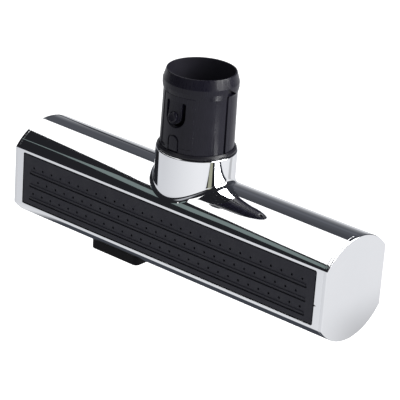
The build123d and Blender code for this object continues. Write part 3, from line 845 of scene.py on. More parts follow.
def make_pad():
    """Pad with three ribs, their troughs and the rows of holes."""
    pad_edge, pad_play, pad_thickness = 0.3 * mm, 0.16 * mm, 2 * mm
    length, height = pad_length - 2 * pad_play, pad_height - 2 * pad_play
    outline = rounded_box(length, height, pad_corner - pad_gap)
    rings = [face_ring(outline, -half_depth + pad_thickness, z=axis_z)]
    for share in np.linspace(0, math.pi / 2, 5):
        inset = pad_edge * (1 - math.cos(share))
        outline = rounded_box(length - 2 * inset, height - 2 * inset, pad_corner - pad_gap)
        rings.append(face_ring(outline, -half_depth + pad_edge * (1 - math.sin(share)), z=axis_z))
    pad = stack("front_pad_rubber", rings)
    rows = [first_rib - row * rib_pitch for row in range(3)]
    combine(pad, merge("troughs", [trough(z) for z in rows]))
    combine(pad, merge("ribs", [rib(z) for z in rows]), "UNION")
    holes = []
    for row, z in enumerate(rows):
        columns = longest_row - row % 2
        holes += [pad_hole(x, z + hole_above) for x in evenly(columns, (columns - 1) * hole_pitch)]
    combine(pad, merge("holes", holes))
    print(len(holes), "holes over", len(rows), "ribs")
    return pad


pad = finish_shading(make_pad())
pad.data.materials.append(rubber)
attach(pad, "head")
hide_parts("front_pad")
print("pad:", len(pad.data.polygons), "faces")

# %% [markdown]
# ## Wand connector
#
# The sleeve that takes the wand is a glossy black moulding with a lip ring round its mouth. Its body is
# nearly turned, but its front stands a hair proud, a groove runs down each side and faint strips show where
# the mould parts meet. Relief that shallow is hard to cut and easy to calculate: the outer surface is one
# function, the radius at an angle and a height, sampled on lines that crowd where it bends. Deeper shapes
# are cut or joined afterwards.

# %% Section of the sleeve
bore = 15.4 * mm
lip_radius = sleeve_high.x
mouth = sleeve_high.z
mouth_round = 0.45 * mm
throat, journal = 13.94 * mm, 15.94 * mm
sleeve_foot, sleeve_head, ring_radius = 17.35 * mm, 17.0 * mm, 17.3 * mm


def up(height):
    """Place along Z of a height above the bar's axis in millimetres."""
    return axis_z + height * mm


foot_z, bore_floor, shoulder_z, ring_z = up(39.55), up(42.55), up(66.6), up(67.6)
lip_low, lip_high = up(69.2), up(71.5)
clip_groove, seal_groove = (up(19.85), up(21.05), 15.24 * mm), (up(29.35), up(31.05), 14.77 * mm)


def mouth_corner():
    """Where the cone and the bore would meet, if the edge between them weren't rounded."""
    corner = mouth
    for _ in range(12):
        lean = math.atan2(lip_radius - bore, corner - lip_high)
        corner = mouth + mouth_round * (1 / math.tan(lean / 2) - 1)
    return corner


def rounded_section(corners):
    """Section of a turned part; a corner is its radius, its place along Z and its rounding in millimetres."""
    return round_corners([c[:2] for c in corners], [c[2] * mm for c in corners])


corners = [
    (sleeve_foot, foot_z, 0.25), (sleeve_head, shoulder_z, 1.6), (ring_radius, ring_z, 0.7),
    (lip_radius, lip_low, 0.5), (lip_radius, lip_high, 0.45), (bore, mouth_corner(), mouth_round / mm),
    (bore, bore_floor, 0.5), (throat, foot_z, 0.3), (throat, sleeve_low.z, 0.2), (journal, sleeve_low.z, 0.3),
]
for low, high, floor_radius in (clip_groove, seal_groove):
    for radius, z in ((journal, low), (floor_radius, low), (floor_radius, high), (journal, high)):
        corners.append((radius, z, 0.08))
corners.append((journal, foot_z, 0.1))
section = rounded_section(corners)
summit = int(section[:, 1].argmax())
outer_line = section[: summit + 1]
print("section of", len(section), "points, top at", round(section[summit, 1] / mm, 3), "mm")

# %% [markdown]
# Each bit of relief is a span of angles times a span of heights, both with soft ends: the raised front, the
# groove down its left edge and the short one across its foot, a strip beside the key, a strip down the
# right side and the back half of the mould. Angles are in degrees from the front towards the right.

# %% Radius at an angle and a height
front_half, front_rise, front_top = 32.3, 0.20, up(66.9)
left_groove, left_drop, left_foot, left_top = (-32.2, -25.6), 0.7, up(41.3), up(66.4)
foot_groove, foot_drop, foot_top = (-32.2, -18.0), 0.5, up(42.1)
key_strip, key_strip_rise, key_strip_top = (24.8, front_half), 0.05, up(48.1)
side_strip, side_strip_rise, side_strip_top = (65.3, 74.0), 0.07, up(49)
back_half, back_rise = (96, 256), 0.04
groove_half, groove_depth = 2.0, 0.6 * mm
groove_centres = (86.3, -93.0)


def step(value, place, width):
    """Smooth rise from 0 to 1 round a place."""
    share = np.clip((value - place) / width + 0.5, 0, 1)
    return share * share * (3 - 2 * share)


def hump(value, low, high, width):
    """1 between two places and 0 outside, with smooth ends."""
    return step(value, low, width) * (1 - step(value, high, width))


def sleeve_surface(angle, z):
    """Outer radius at an angle in degrees from -Y towards +X and a height."""
    radius = np.interp(z, outer_line[:, 1], outer_line[:, 0])
    front = 1 - step(abs(angle), front_half, 0.45)
    rise = front_rise * front * hump(z, bore_floor, front_top, 0.3 * mm)
    left_edge = left_drop * hump(angle, *left_groove, 0.7) * hump(z, left_foot, left_top, 0.3 * mm)
    foot_edge = foot_drop * hump(angle, *foot_groove, 0.7) * hump(z, left_foot, foot_top, 0.3 * mm)
    rise = rise - np.maximum(left_edge, foot_edge)
    rise = rise + key_strip_rise * hump(angle, *key_strip, 0.7) * hump(z, bore_floor, key_strip_top, 0.4 * mm)
    rise = rise + side_strip_rise * hump(angle, *side_strip, 1.2) * (1 - step(z, side_strip_top, 6 * mm))
    rise = rise + back_rise * hump(angle % 360, *back_half, 1) * (1 - step(z, shoulder_z, 1 * mm))
    radius = radius + rise * mm
    for centre in groove_centres:
        depth = hump(angle, centre - groove_half, centre + groove_half, 0.6) * (1 - step(z, ring_z, 0.2 * mm))
        radius = radius + depth * np.minimum(sleeve_head - groove_depth - radius, 0)
    return radius


latch_sector = 19
crowded = (-0.6, -0.35, -0.22, -0.1, 0, 0.1, 0.22, 0.35, 0.6)
bends = [-front_half, *left_groove, *foot_groove, *key_strip, *side_strip, back_half[0], back_half[1] - 360]
bends += [centre + side * groove_half for centre in groove_centres for side in (-1, 1)]
angles = set(np.arange(-180, 180, 2.5)) | set(np.arange(-latch_sector, latch_sector + 0.1, 0.5))
for bend in bends:
    angles |= {round(float(bend + away), 3) for away in crowded}
angles = np.array(sorted(angles))
print(len(angles), "angles round the sleeve")

# %% Sleeve as rings
root_z = up(64.3)
relief_feet = [41, 41.15, 41.25, 41.35, 41.45, 41.8, 41.95, 42.05, 42.15, 42.25]
relief_feet += [42.3, 42.4, 42.5, 42.6, 42.7, 42.8]
strip_tops = [45, 46, 47, 47.8, 48, 48.2, 48.4, 49, 50, 51, 52, 56, 60]
relief_tops = [66.2, 66.3, 66.4, 66.5, 66.7, 66.8, 66.9, 67, 67.1, 67.5, 67.55, 67.6, 67.65, 67.7]
extra = {round(up(height), 7) for height in relief_feet + strip_tops + relief_tops}
heights = sorted({round(z, 7) for z in outer_line[:, 1]} | extra | {root_z})


def polar(angle, radius, z):
    """Points at angles in degrees."""
    return turned_ring(radius, z, np.radians(angle))


rings = [polar(angles, sleeve_surface(angles, z), z) for z in heights]
rings += [polar(angles, r, z) for r, z in section[summit + 1:]]
sleeve = stack("wand_connector_black", rings, closed=True)
print("sleeve:", len(sleeve.data.polygons), "faces")

# %% [markdown]
# Two shapes are cut out of the sleeve. A U-shaped slot frees the latch tongue, and a three-cornered notch
# stands in the lip ring over each groove. The slot's outline lies in a plane, but its edge is rounded where
# it leaves the curved surface, so the cutter's rings are bent onto the surface first.

# %% Tongue and slot outlines
tongue_half = 3.65 * mm
slot_width = 1.8 * mm
nose_z = up(57.3)
slot_ease = 0.2 * mm
before_sleeve, behind_wall = -21 * mm, -12 * mm


def arc(x, z, radius, start, stop, grow=0.0, steps=12):
    """Arc in X and Z; it grows along its normals, and not at all where they point along Z above the nose."""
    points = []
    for a in np.radians(np.linspace(start, stop, steps + 1)):
        share = abs(math.cos(a)) if z > nose_z else 1
        points.append((x + (radius + grow * share) * math.cos(a), z + (radius + grow * share) * math.sin(a)))
    return points


def slot_outline(grow):
    """Outside of the U-shaped slot: a round nose below, a straight root above."""
    half, corner = tongue_half + slot_width, slot_width / 2
    outline = arc(half - corner, root_z - corner, corner, 90, 0, grow)
    outline += arc(0, nose_z, half + grow, 0, -180, steps=40)
    return np.array(outline + arc(corner - half, root_z - corner, corner, 180, 90, grow))


def tongue_outline(shrink):
    """The tongue inside the slot, filleted at its root and drawn past it."""
    corner, drawn_past = slot_width / 2, 1 * mm
    side = tongue_half + corner
    outline = [(side, root_z + drawn_past)] + arc(side, root_z - corner, corner, 90, 180, shrink)
    outline += arc(0, nose_z, tongue_half - shrink, 0, -180, steps=40)
    outline += arc(-side, root_z - corner, corner, 0, 90, shrink)
    return np.array(outline + [(-side, root_z + drawn_past)])


def bent_ring(outline, offset):
    """An outline in X and Z laid on the sleeve's front, raised by an offset."""
    x, z = outline[:, 0], outline[:, 1]
    radius = sleeve_surface(np.degrees(np.arcsin(x / sleeve_head)), z) + offset
    return np.stack([x, -np.sqrt(radius**2 - x**2), z], axis=1)


def front_cutter(name, outline_at):
    """Prism through the sleeve's front wall; its outline takes a rounding near the surface."""
    rings = [face_ring(outline_at(slot_ease), before_sleeve), bent_ring(outline_at(slot_ease), slot_ease)]
    for share in np.linspace(0, math.pi / 2, 5):
        outline = outline_at(slot_ease * (1 - math.sin(share)))
        rings.append(bent_ring(outline, -slot_ease * (1 - math.cos(share))))
    rings.append(face_ring(outline_at(0), behind_wall))
    return stack(name, rings)


combine(sleeve, front_cutter("slot", slot_outline))
print("slot", round(2 * (tongue_half + slot_width) / mm, 1), "mm wide")

# %% Notches in the lip ring
notch_run, notch_wall, notch_share = 7.4 * mm, 0.4 * mm, 0.98


def rotated(piece, degrees):
    """Turns a piece about the wand's axis."""
    piece.data.transform(Matrix.Rotation(math.radians(degrees), 4, "Z"))
    return piece


def lip_notch(middle):
    """Ramp-shaped cutter over a groove, whose floor follows the sleeve."""
    left = -math.radians(groove_half) * sleeve_head
    floor_radius = bore + notch_wall
    rings = []
    for x in np.linspace(left, left + notch_share * notch_run, 24):
        top = lip_high - (x - left) / notch_run * (lip_high - ring_z)
        floor_y = -math.sqrt(floor_radius**2 - x**2)
        rings.append([(x, floor_y, ring_z), (x, -20 * mm, ring_z), (x, -20 * mm, top), (x, floor_y, top)])
    return rotated(stack("notch", rings), middle)


for centre in groove_centres:
    combine(sleeve, lip_notch(centre))
print("notches over", len(groove_centres), "grooves")

# %% [markdown]
# Below the latch stands a raised key with a round top. Its crest follows the sleeve, with a soft edge all
# round, and a narrow groove runs round its foot. The groove is cut first and the key is joined after it, so
# each of the two keeps a clean edge.

# %% Key
key_width, key_foot, key_top, key_round = 5.0 * mm, up(40.6), up(47.9), 0.35 * mm
key_radius, key_root, key_corner = 17.55 * mm, 16 * mm, 0.3 * mm
key_groove_width, key_groove_depth = 0.65 * mm, 0.45 * mm


def key_outline(inset):
    """Outline of the key in X and Z, set in from its edge."""
    half, low, high = key_width / 2 - inset, key_foot + inset, key_top - inset
    corners = [(-half, low), (half, low), (half, high), (-half, high)]
    foot_round = max(key_corner - inset, least_round)
    return round_corners(corners, [foot_round, foot_round, half, half], steps=10)


def key_ring(inset, radius):
    """The key's outline laid on a cylinder about the wand's axis."""
    return np.array([(x, -math.sqrt(radius**2 - x**2), z) for x, z in key_outline(inset)])


def key_groove():
    """Cutter of a narrow groove round the key."""
    outline = key_outline(-key_groove_width)
    rings = [bent_ring(outline, 0.1 * mm), bent_ring(outline, -key_groove_depth)]
    return stack("key_groove", [face_ring(outline, before_sleeve)] + rings)


combine(sleeve, key_groove())
rings = [key_ring(0, key_root)]
for share in np.linspace(0, math.pi / 2, 6):
    rings.append(key_ring(key_round * (1 - math.cos(share)), key_radius - key_round * (1 - math.sin(share))))
rings += [key_ring(inset * mm, key_radius) for inset in (0.7, 1.1, 1.5, 1.9, 2.3, 2.6)]
combine(sleeve, stack("key", rings), "UNION")
sleeve = finish_shading(sleeve)
sleeve.data.materials.append(gloss_black)
# the bore's faces take the lighter black, which is painted light inside the sleeve
sleeve.data.materials.append(bore_black_painted_light)
for face in sleeve.data.polygons:
    near_bore = math.hypot(face.center.x, face.center.y) < bore + 0.1 * mm
    face.material_index = 1 if near_bore and face.center.z > bore_floor + 0.05 * mm else 0
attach(sleeve, "connector")
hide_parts("wand_connector")
print("connector:", len(sleeve.data.polygons), "faces")

# %% [markdown]
# ## Latch tongue
#
# The tongue is a strip of the same wall, so it comes from the same surface and the same lines. Its root
# meets the sleeve without a seam. Towards its tip it springs out a little, as a latch does to hold the
# wand. The button is a round boss with a chamfered rim and a shallow dish for the fingertip.

# %% Tongue with its button
button_radius, button_rise, button_chamfer, dish = 2.42 * mm, 2.1 * mm, 0.5 * mm, 0.14 * mm
tongue_lift = 0.8 * mm
button_lean = math.tan(math.radians(14))
button_seat, button_sink = -16.9 * mm, 0.6 * mm
lift_start, lift_curve = root_z - 1.5 * mm, 1.3
tongue_low = up(51)


def make_button():
    """Boss whose face leans with the tongue."""
    face = -(sleeve_surface(0.0, nose_z) + button_rise)
    flank = [(button_radius, face + 1.0 * mm), (button_radius, face + button_chamfer)]
    flank += [(button_radius - button_chamfer, face), (0.70 * button_radius, face)]
    flank += [(0.55 * button_radius, face + dish), (0.2 * button_radius, face + dish)]
    profile = [(button_radius, -(bore + tongue_lift + button_sink))]
    profile += [tuple(p) for p in round_corners(flank, [0, 0.2 * mm, 0.12 * mm, 0.25 * mm, 0.25 * mm, 0])]
    ring_turns = np.linspace(0, 2 * math.pi, 72, endpoint=False)
    circle = np.stack([np.cos(ring_turns), np.sin(ring_turns)], axis=1)
    rings = [face_ring(radius * circle, y, z=nose_z) for radius, y in profile]
    for ring in rings:
        share = np.clip((button_seat - ring[:, 1]) / button_rise, 0, 1)
        ring[:, 1] += share * button_lean * (ring[:, 2] - nose_z)
    return stack("button", rings)


def lift(z):
    """How far the tongue springs out at a height: most at its tip, nothing at its root."""
    return tongue_lift * max((lift_start - z) / (lift_start - nose_z), 0) ** lift_curve


def make_tongue():
    """Tongue cut out of its own strip of the sleeve's wall, with the button on it."""
    patch = angles[abs(angles) <= latch_sector]
    rings = []
    for z in [tongue_low] + [z for z in heights if tongue_low < z <= root_z]:
        outer = polar(patch, sleeve_surface(patch, z), z)
        ring = np.concatenate([outer, polar(patch[::-1], bore, z)])
        rings.append(ring - np.array([0, lift(z), 0]))
    tongue = stack("latch_tongue_black", rings)
    combine(tongue, front_cutter("tongue", tongue_outline), "INTERSECT")
    return combine(tongue, make_button(), "UNION")


tongue = finish_shading(make_tongue())
tongue.data.materials.append(gloss_black)
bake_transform(tongue)
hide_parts("latch_tongue")
print("tongue:", len(tongue.data.polygons), "faces")

# %% [markdown]
# ## Neck bush
#
# The black ring on the neck is the flange of the bush in which the connector turns. It is a turned part: a
# section with soft corners, swept round. A lip stands up inside the flange, and the washer lies in a recess
# below it.

# %% Bush
bush_bore, bush_seat, recess_radius = 16.0 * mm, 18.0 * mm, 17.16 * mm
flange_radius, lip_outer, lip_inner = flange_high.x, 17.75 * mm, 17.52 * mm
flange_foot, flange_edge, lip_top = up(38.5), up(39.25), up(40.15)
recess_floor, recess_top = up(38.7), up(39.3)
bush_corners = [
    (bush_bore, flange_low.z, 0.3), (neck_bore, flange_low.z, 0.3), (neck_bore, neck_high.z, 0),
    (bush_seat, neck_high.z, 0.05), (bush_seat, flange_foot, 0.05), (flange_radius, flange_foot, 0.12),
    (flange_radius, flange_edge, 0.2), (lip_outer, lip_top, 0.1), (lip_inner, lip_top, 0.08),
    (lip_inner, recess_top, 0), (recess_radius, recess_top, 0), (recess_radius, recess_floor, 0),
    (bush_bore, recess_floor, 0.1),
]
bush = turn("neck_bush_black", rounded_section(bush_corners))
finish_shading(bush)
bush.data.materials.append(satin_black)
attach(bush, "head")
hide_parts("neck_bush")
print("bush:", len(bush.data.polygons), "faces")

# %% [markdown]
# ## Relief slide
#
# Under the bar sits a slide that opens a slot and lets air in, so the cloth is held less firmly. It is a
# shallow saddle with rounded edges and a grip of fine grooves below. A saddle is a block minus the bar, so
# it is made so, and a stem joins it to its holder inside.

# %% Slide
slide_corner, slide_edge, saddle_gap = 2.6 * mm, 0.8 * mm, 0.3 * mm
slide_x, slide_z = (slide_low.x + slide_high.x) / 2, slide_low.z
slide_long, slide_wide = slide_high.x - slide_low.x, slide_high.y - slide_low.y
slide_top = underside + 4 * mm
stem_sink = 1.1 * mm
grip_count, grip_span, grip_width, grip_length, grip_depth = 5, 9 * mm, 1.0 * mm, 15 * mm, 0.5 * mm


def level_ring(outline, z, x=0.0):
    """An outline in X and Y as a ring of points at one height."""
    return np.array([(x + px, py, z) for px, py in outline])


def grip_groove(x):
    """Cutter of one groove across the slide's underside, flared at its mouth."""
    def outline(grow):
        return rounded_box(grip_width + 2 * grow, grip_length + 2 * grow, grip_width / 2 + grow)
    levels = [(0.15 * mm, -0.3 * mm), (0.15 * mm, 0.0), (0, 0.12 * mm), (0, grip_depth)]
    return stack("grip", [level_ring(outline(grow), slide_z + deep, slide_x + x) for grow, deep in levels])


def make_slide():
    """Saddle with grip grooves and the stem that reaches through the bar's wall."""
    rings = []
    for share in np.linspace(0, math.pi / 2, 8):
        inset = slide_edge * (1 - math.sin(share))
        outline = rounded_box(slide_long - 2 * inset, slide_wide - 2 * inset, slide_corner - inset)
        rings.append(level_ring(outline, slide_z + slide_edge * (1 - math.cos(share)), slide_x))
    rings.append(level_ring(rounded_box(slide_long, slide_wide, slide_corner), slide_top, slide_x))
    slide = stack("relief_slide_black", rings)
    combine(slide, merge("grips", [grip_groove(x) for x in evenly(grip_count, grip_span)]))
    rings = [bar_ring(x, -saddle_gap) for x in (slide_low.x - 1 * mm, slide_high.x + 1 * mm)]
    combine(slide, stack("saddle", rings))
    low = (stem_left, -stem_half, underside - stem_sink)
    high = (stem_left + stem_length, stem_half, slide_high.z)
    return combine(slide, box_cutter("stem", low, high), "UNION")


slide = finish_shading(make_slide())
slide.data.materials.append(slide_black)
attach(slide, "relief")
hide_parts("relief_slide")
print("slide:", len(slide.data.polygons), "faces")

# %% [markdown]
# ## Suction face
#
# The back carries a matt plate with the suction slot between two lint strips. The slot's mouth is well
# rounded so that it glides over cloth. Each screw sinks into its own pocket.

# %% Suction plate
strip_length, strip_height, strip_depth = 146 * mm, 3.6 * mm, 1.5 * mm
strip_rows = (-7.6 * mm, 7.6 * mm)
strip_corner = 1.1 * mm
plate_edge, plate_round = 0.35 * mm, 1.8 * mm
slot_mouth, channel_mouth = 0.9 * mm, 0.15 * mm
head_pocket_radius, head_pocket_depth, head_pocket_mouth = 2.85 * mm, 1.6 * mm, 0.2 * mm
plate_hole_radius = 1.6 * mm


def disc_outline(radius):
    """Outline function of a round pocket, for a flared cutter."""
    def outline(grow):
        around = np.linspace(0, 2 * math.pi, 48, endpoint=False)
        return (radius + grow) * np.stack([np.cos(around), np.sin(around)], axis=1)
    return outline


def make_plate():
    """Plate with the slot, two channels for the strips and four countersunk holes."""
    rings = [face_ring(rounded_box(plate_length, plate_height, plate_round), plate_low.y, z=axis_z)]
    for share in np.linspace(0, math.pi / 2, 6):
        inset = plate_edge * (1 - math.cos(share))
        outline = rounded_box(plate_length - 2 * inset, plate_height - 2 * inset, plate_round - inset)
        rings.append(face_ring(outline, half_depth - plate_edge * (1 - math.sin(share)), z=axis_z))
    plate = stack("suction_plate_black", rings)
    behind = plate_low.y - 1 * mm

    def slot(grow):
        return stadium(slot_length + 2 * grow, slot_height + 2 * grow)

    def channel(grow):
        return rounded_box(strip_length + 2 * grow, strip_height + 2 * grow, strip_corner + grow)

    combine(plate, flared_cutter("slot", slot, half_depth, behind, slot_mouth, z=axis_z))
    for row in strip_rows:
        floor_y = half_depth - strip_depth
        combine(plate, flared_cutter("channel", channel, half_depth, floor_y, channel_mouth, z=axis_z + row))
    head = (disc_outline(head_pocket_radius), half_depth, half_depth - head_pocket_depth, head_pocket_mouth)
    combine(plate, merge("heads", [flared_cutter("head", *head, x, z) for x, z in screw_places]))
    hole = (plate_hole_radius, behind, half_depth)
    combine(plate, merge("shanks", [rod("shank", *hole, x, z) for x, z in screw_places]))
    return plate


plate = finish_shading(make_plate())
plate.data.materials.append(matt_black)
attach(plate, "head")
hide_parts("suction_plate")
print("plate:", len(plate.data.polygons), "faces")

# %% [markdown]
# A lint strip is pile on a backing: thousands of short fibres that all lean one way, so that cloth slides
# over them in one direction and lint stays behind in the other. Each fibre is a slim spike with three
# sides, set at a seeded random place with its own length and lean.

# %% Lint strips
pile_base, pile_rise = 0.55 * mm, 0.12 * mm
fibre_root = 0.1 * mm
backing_levels = ((strip_depth - pile_base, 0), (0.25 * mm, 0), (0.07 * mm, 0.1 * mm), (0, 0.3 * mm))


def make_strip(name, row, seed, fibres=9000):
    """Backing with a rounded top and its fibres, in one mesh."""
    draw = np.random.default_rng(seed)
    ground = half_depth - pile_base
    points, faces = [], []
    for deep, inset in backing_levels:
        outline = rounded_box(strip_length - 2 * inset, strip_height - 2 * inset, strip_corner - inset)
        points += [tuple(p) for p in face_ring(outline, ground - deep, z=axis_z + row)]
    count = len(outline)
    for ring in range(3):
        this, after = ring * count, (ring + 1) * count
        for i in range(count):
            j = (i + 1) % count
            faces.append((this + i, after + i, after + j, this + j))
    faces.append(tuple(range(count)))
    faces.append(tuple(reversed(range(3 * count, 4 * count))))
    lean = 1 if row > 0 else -1
    for _ in range(fibres):
        x = draw.uniform(-0.5, 0.5) * (strip_length - 0.7 * mm)
        z = axis_z + row + draw.uniform(-0.5, 0.5) * (strip_height - 0.5 * mm)
        thick = draw.uniform(0.07, 0.12) * mm
        tip_x = x + draw.normal(0, 0.12) * mm
        tip_y = half_depth + pile_rise * draw.uniform(-1.5, 1)
        tip_z = z + lean * draw.uniform(0.05, 0.4) * mm
        first = len(points)
        for corner in range(3):
            a = 2 * math.pi * corner / 3 + draw.uniform(0, 1)
            points.append((x + thick * math.cos(a), ground - fibre_root, z + thick * math.sin(a)))
        points.append((tip_x, tip_y, tip_z))
        faces += [(first, first + 1, first + 2), (first, first + 3, first + 1)]
        faces += [(first + 1, first + 3, first + 2), (first + 2, first + 3, first)]
    return mesh_object(name, points, faces)


for name, row, seed in (("lower_lint_strip", strip_rows[0], 11), ("upper_lint_strip", strip_rows[1], 12)):
    strip_piece = make_strip(name + "_pile", row, seed)
    strip_piece.data.materials.append(pile)
    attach(strip_piece, "head")
    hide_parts(name)
    print(name, len(strip_piece.data.polygons), "faces")

# %% [markdown]
# Four screws hold the plate. Each is a stack of round rings: a plain shank, a head with a rounded rim, and
# a low crown. Two crossed wedges cut the recess, and each screw stops at an angle of its own, as screws do.

# %% Screws
head_rim, crown_flat, crown_run, crown_rise = 0.75 * mm, 1.5 * mm, 1.2 * mm, 0.6 * mm
recess_long, recess_wide, recess_corner, recess_taper = 3.0 * mm, 0.7 * mm, 0.12 * mm, 0.6


def cross_wedge(length, width, angle, face, x, z):
    """Cutter of one arm of the recess, which narrows towards its floor."""
    spin = np.array([[math.cos(angle), -math.sin(angle)], [math.sin(angle), math.cos(angle)]])
    outline = rounded_box(length, width, recess_corner) @ spin
    levels = ((1, face + 0.3 * mm), (1, face - 0.25 * mm), (recess_taper, face - 0.8 * mm))
    return stack("cross", [face_ring(taper * outline, y, x, z) for taper, y in levels])


def make_screw(x, z):
    """Pan head with a rounded rim and a cross recess, on a plain shank."""
    face = screws_high.y
    under = half_depth - head_pocket_depth
    rim = face - head_rim
    levels = [(shank_radius, screws_low.y), (shank_radius, under), (head_radius, under), (head_radius, rim)]
    for share in np.linspace(0.15, math.pi / 2, 6):
        levels.append((crown_flat + crown_run * math.cos(share), rim + crown_rise * math.sin(share)))
    levels += [(0.9 * mm, face - 0.05 * mm), (0.3 * mm, face)]
    screw = stack("screw", [face_ring(disc_outline(r)(0), y, x, z) for r, y in levels])
    stopped_at = 20 + 1300 * x + 900 * z
    for length, width in ((recess_long, recess_wide), (recess_wide, recess_long)):
        combine(screw, cross_wedge(length, width, stopped_at, face, x, z))
    return screw


screws = finish_shading(merge("plate_screws_steel", [make_screw(x, z) for x, z in screw_places]))
screws.data.materials.append(steel)
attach(screws, "head")
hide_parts("plate_screws")
print("screws:", len(screws.data.polygons), "faces")

# %% [markdown]
# ## What stays as constructed
#
# Gaskets, the carrier behind the pad, the clip and the washer are hidden or show only as a thin line. Their
# shape is right as it comes, so they only get a finish.

# %% Finishes of the hidden parts
kept = {
    "left_cap_gasket": seal_rubber, "right_cap_gasket": seal_rubber, "pad_sealing_sheet": seal_rubber,
    "plate_gasket": seal_rubber, "connector_seal": seal_rubber, "pad_carrier": matt_black,
    "thrust_washer": slip_plastic, "slide_retainer": slip_plastic,
    "connector_clip": steel, "retainer_screw": steel,
}
for node, material in kept.items():
    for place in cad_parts[node].material_slots:
        place.material = material
    print(node, "is", material.name)

# %% [markdown]
# ## Camera
#
# The camera looks down on the front from the right at a modest height. A long lens keeps the bar's edges
# nearly parallel. The line of sight passes a little above and beside the bar's centre, and the camera is
# rolled a few degrees, as a tilted view would be.

# %% Camera
view_azimuth = math.radians(38.856)
view_elevation = math.radians(23.113)
view_roll = math.radians(4.142)
view_distance = 0.95833
aim_right, aim_up = 4.096 * mm, 10.269 * mm


def view_axes(azimuth, elevation, roll):
    """The camera's right, up and backward directions."""
    outward = Vector((math.sin(azimuth), -math.cos(azimuth), 0))
    backward = outward * math.cos(elevation) + Vector((0, 0, math.sin(elevation)))
    level = Vector((math.cos(azimuth), math.sin(azimuth), 0))
    to_right = level * math.cos(roll) + backward.cross(level) * math.sin(roll)
    return to_right, backward.cross(to_right), backward


view_right, view_up, view_back = view_axes(view_azimuth, view_elevation, view_roll)
lens_data = bpy.data.cameras.new("camera")
lens_data.lens = 184.17
lens_data.sensor_width = 36.0
camera = bpy.data.objects.new("camera", lens_data)
scene.collection.objects.link(camera)
stand = Vector((0, 0, axis_z)) + view_right * aim_right + view_up * aim_up + view_back * view_distance
turned = Matrix((view_right, view_up, view_back)).transposed().to_4x4()
camera.matrix_world = Matrix.Translation(stand) @ turned
scene.camera = camera
print("camera at", [round(v, 4) for v in stand])

# %% [markdown]
# ## Studio
#
# Chrome shows the room more than itself, so the studio is designed as what the metal should mirror: a pale
# floor below, a wide soft light overhead with a greenish window strip beside it, a dark room in front, and
# a dim blue-grey wall behind. Light and dark boards stand to the right for the neck, and a dark rail to the
# rear left. The camera never sees these boards, only the object does.

# %% Boards overhead
floor_z = underside - 150 * mm
ceiling = axis_z + 600 * mm


def flat_stage(name, corners, finish=None):
    """Flat piece of the studio with an empty material; returns the piece and the material's tree."""
    mesh = bpy.data.meshes.new(name)
    mesh.from_pydata([tuple(c) for c in corners], [], [tuple(range(len(corners)))])
    made = bpy.data.objects.new(name, mesh)
    scene.collection.objects.link(made)
    material = bpy.data.materials.new(finish or name)
    material.use_nodes = True
    material.node_tree.nodes.clear()
    mesh.materials.append(material)
    return made, material.node_tree


def board(name, corners, colour, strength):
    """Flat emitting board, which the camera doesn't see."""
    made, tree = flat_stage(name, corners)
    glow = add(tree, "ShaderNodeEmission", {"Color": (*colour, 1), "Strength": strength})
    add(tree, "ShaderNodeOutputMaterial", {"Surface": glow.outputs[0]})
    made.visible_camera = False
    return made


overhead = [(-640, 66), (-578, 6), (-539, -34), (-496, -92), (-467, -150), (-421, -209), (-386, -244)]
overhead += [(-349, -300), (-320, -336), (-160, -560), (-110, 356), (-900, 617)]
board("overhead_softbox", [(x * mm, y * mm, ceiling) for x, y in overhead], (1, 1, 1), 1.5)
glass = [(-632, -260), (-626, -247), (-602, -240), (-576, -238), (-545, -228), (-504, -215), (-483, -243)]
glass += [(-444, -284), (-403, -292), (-382, -311), (-356, -340), (-339, -367), (-325, -388), (-352, -474)]
glass += [(-402, -418), (-436, -390), (-479, -394), (-517, -347), (-560, -280), (-590, -258)]
board("glass_strip", [(x * mm, y * mm, ceiling - 1 * mm) for x, y in glass], (0.185, 0.23, 0.226), 1.0)
print("floor", round((slide_low.z - floor_z) / mm), "mm below the slide")

# %% Boards that stand
neck_eye = axis_z + 25 * mm
near, far = 0.8, 2.0


def standing_board(name, distance, outline, colour, strength=1.0):
    """Upright board; its corners are azimuths from the front and elevations, seen from the neck."""
    corners = []
    for azimuth, elevation in outline:
        turned, raised = math.radians(azimuth), math.radians(elevation)
        across, along = distance * math.sin(turned), -distance * math.cos(turned)
        corners.append((across, along, neck_eye + distance * math.tan(raised)))
    return board(name, corners, colour, strength)


def upright(start, end, low, high):
    """Four corners between two azimuths and two elevations."""
    return [(start, low), (end, low), (end, high), (start, high)]


standing_board("olive_board", near, upright(65.8, 76.2, 1, 18), (0.40, 0.40, 0.30))
standing_board("olive_frame", near, upright(63.4, 65.8, 0, 9), (0.05, 0.048, 0.04))
standing_board("white_board", near, upright(89.4, 137, 13, 45), (1, 1, 1), 12.0)
rail = [(-137, -5), (-138.5, -3), (-139.3, 0), (-140.8, 4), (-141.8, 6), (-142.4, 6.7), (-143.6, 7)]
rail += [(-143.6, 12.5), (-141.8, 12), (-140.8, 10.5), (-139.3, 8), (-138.5, 2), (-137, 0)]
standing_board("dark_rail", far, rail, (0.035, 0.037, 0.045))
print("boards stand", near, "and", far, "m away")

# %% [markdown]
# ### Floor
#
# The floor is pale and matt where the camera looks at it, with a little light of its own so that it comes
# out nearly white and still keeps the object's shadow. Polished metal mirrors a slightly different floor
# that has light and shade painted into its colour: it is painted lighter to the right, holds a painted soft
# shadow of the bar at the rear left and a darker patch of painted shade low on the right. Such patches are
# products of smooth steps along X and Y, so they have no hard edge.

# %% Floor as metal mirrors it
def fade(tree, value, start, stop, low=0.0, high=1.0):
    """Smooth change of a value between two places."""
    sockets = {"Value": value, "From Min": start, "From Max": stop, "To Min": low, "To Max": high}
    return add(tree, "ShaderNodeMapRange", sockets, interpolation_type="SMOOTHSTEP").outputs["Result"]


def times(tree, *values):
    """Product of several values."""
    result = values[0]
    for value in values[1:]:
        result = add(tree, "ShaderNodeMath", {0: result, 1: value}, operation="MULTIPLY").outputs[0]
    return result


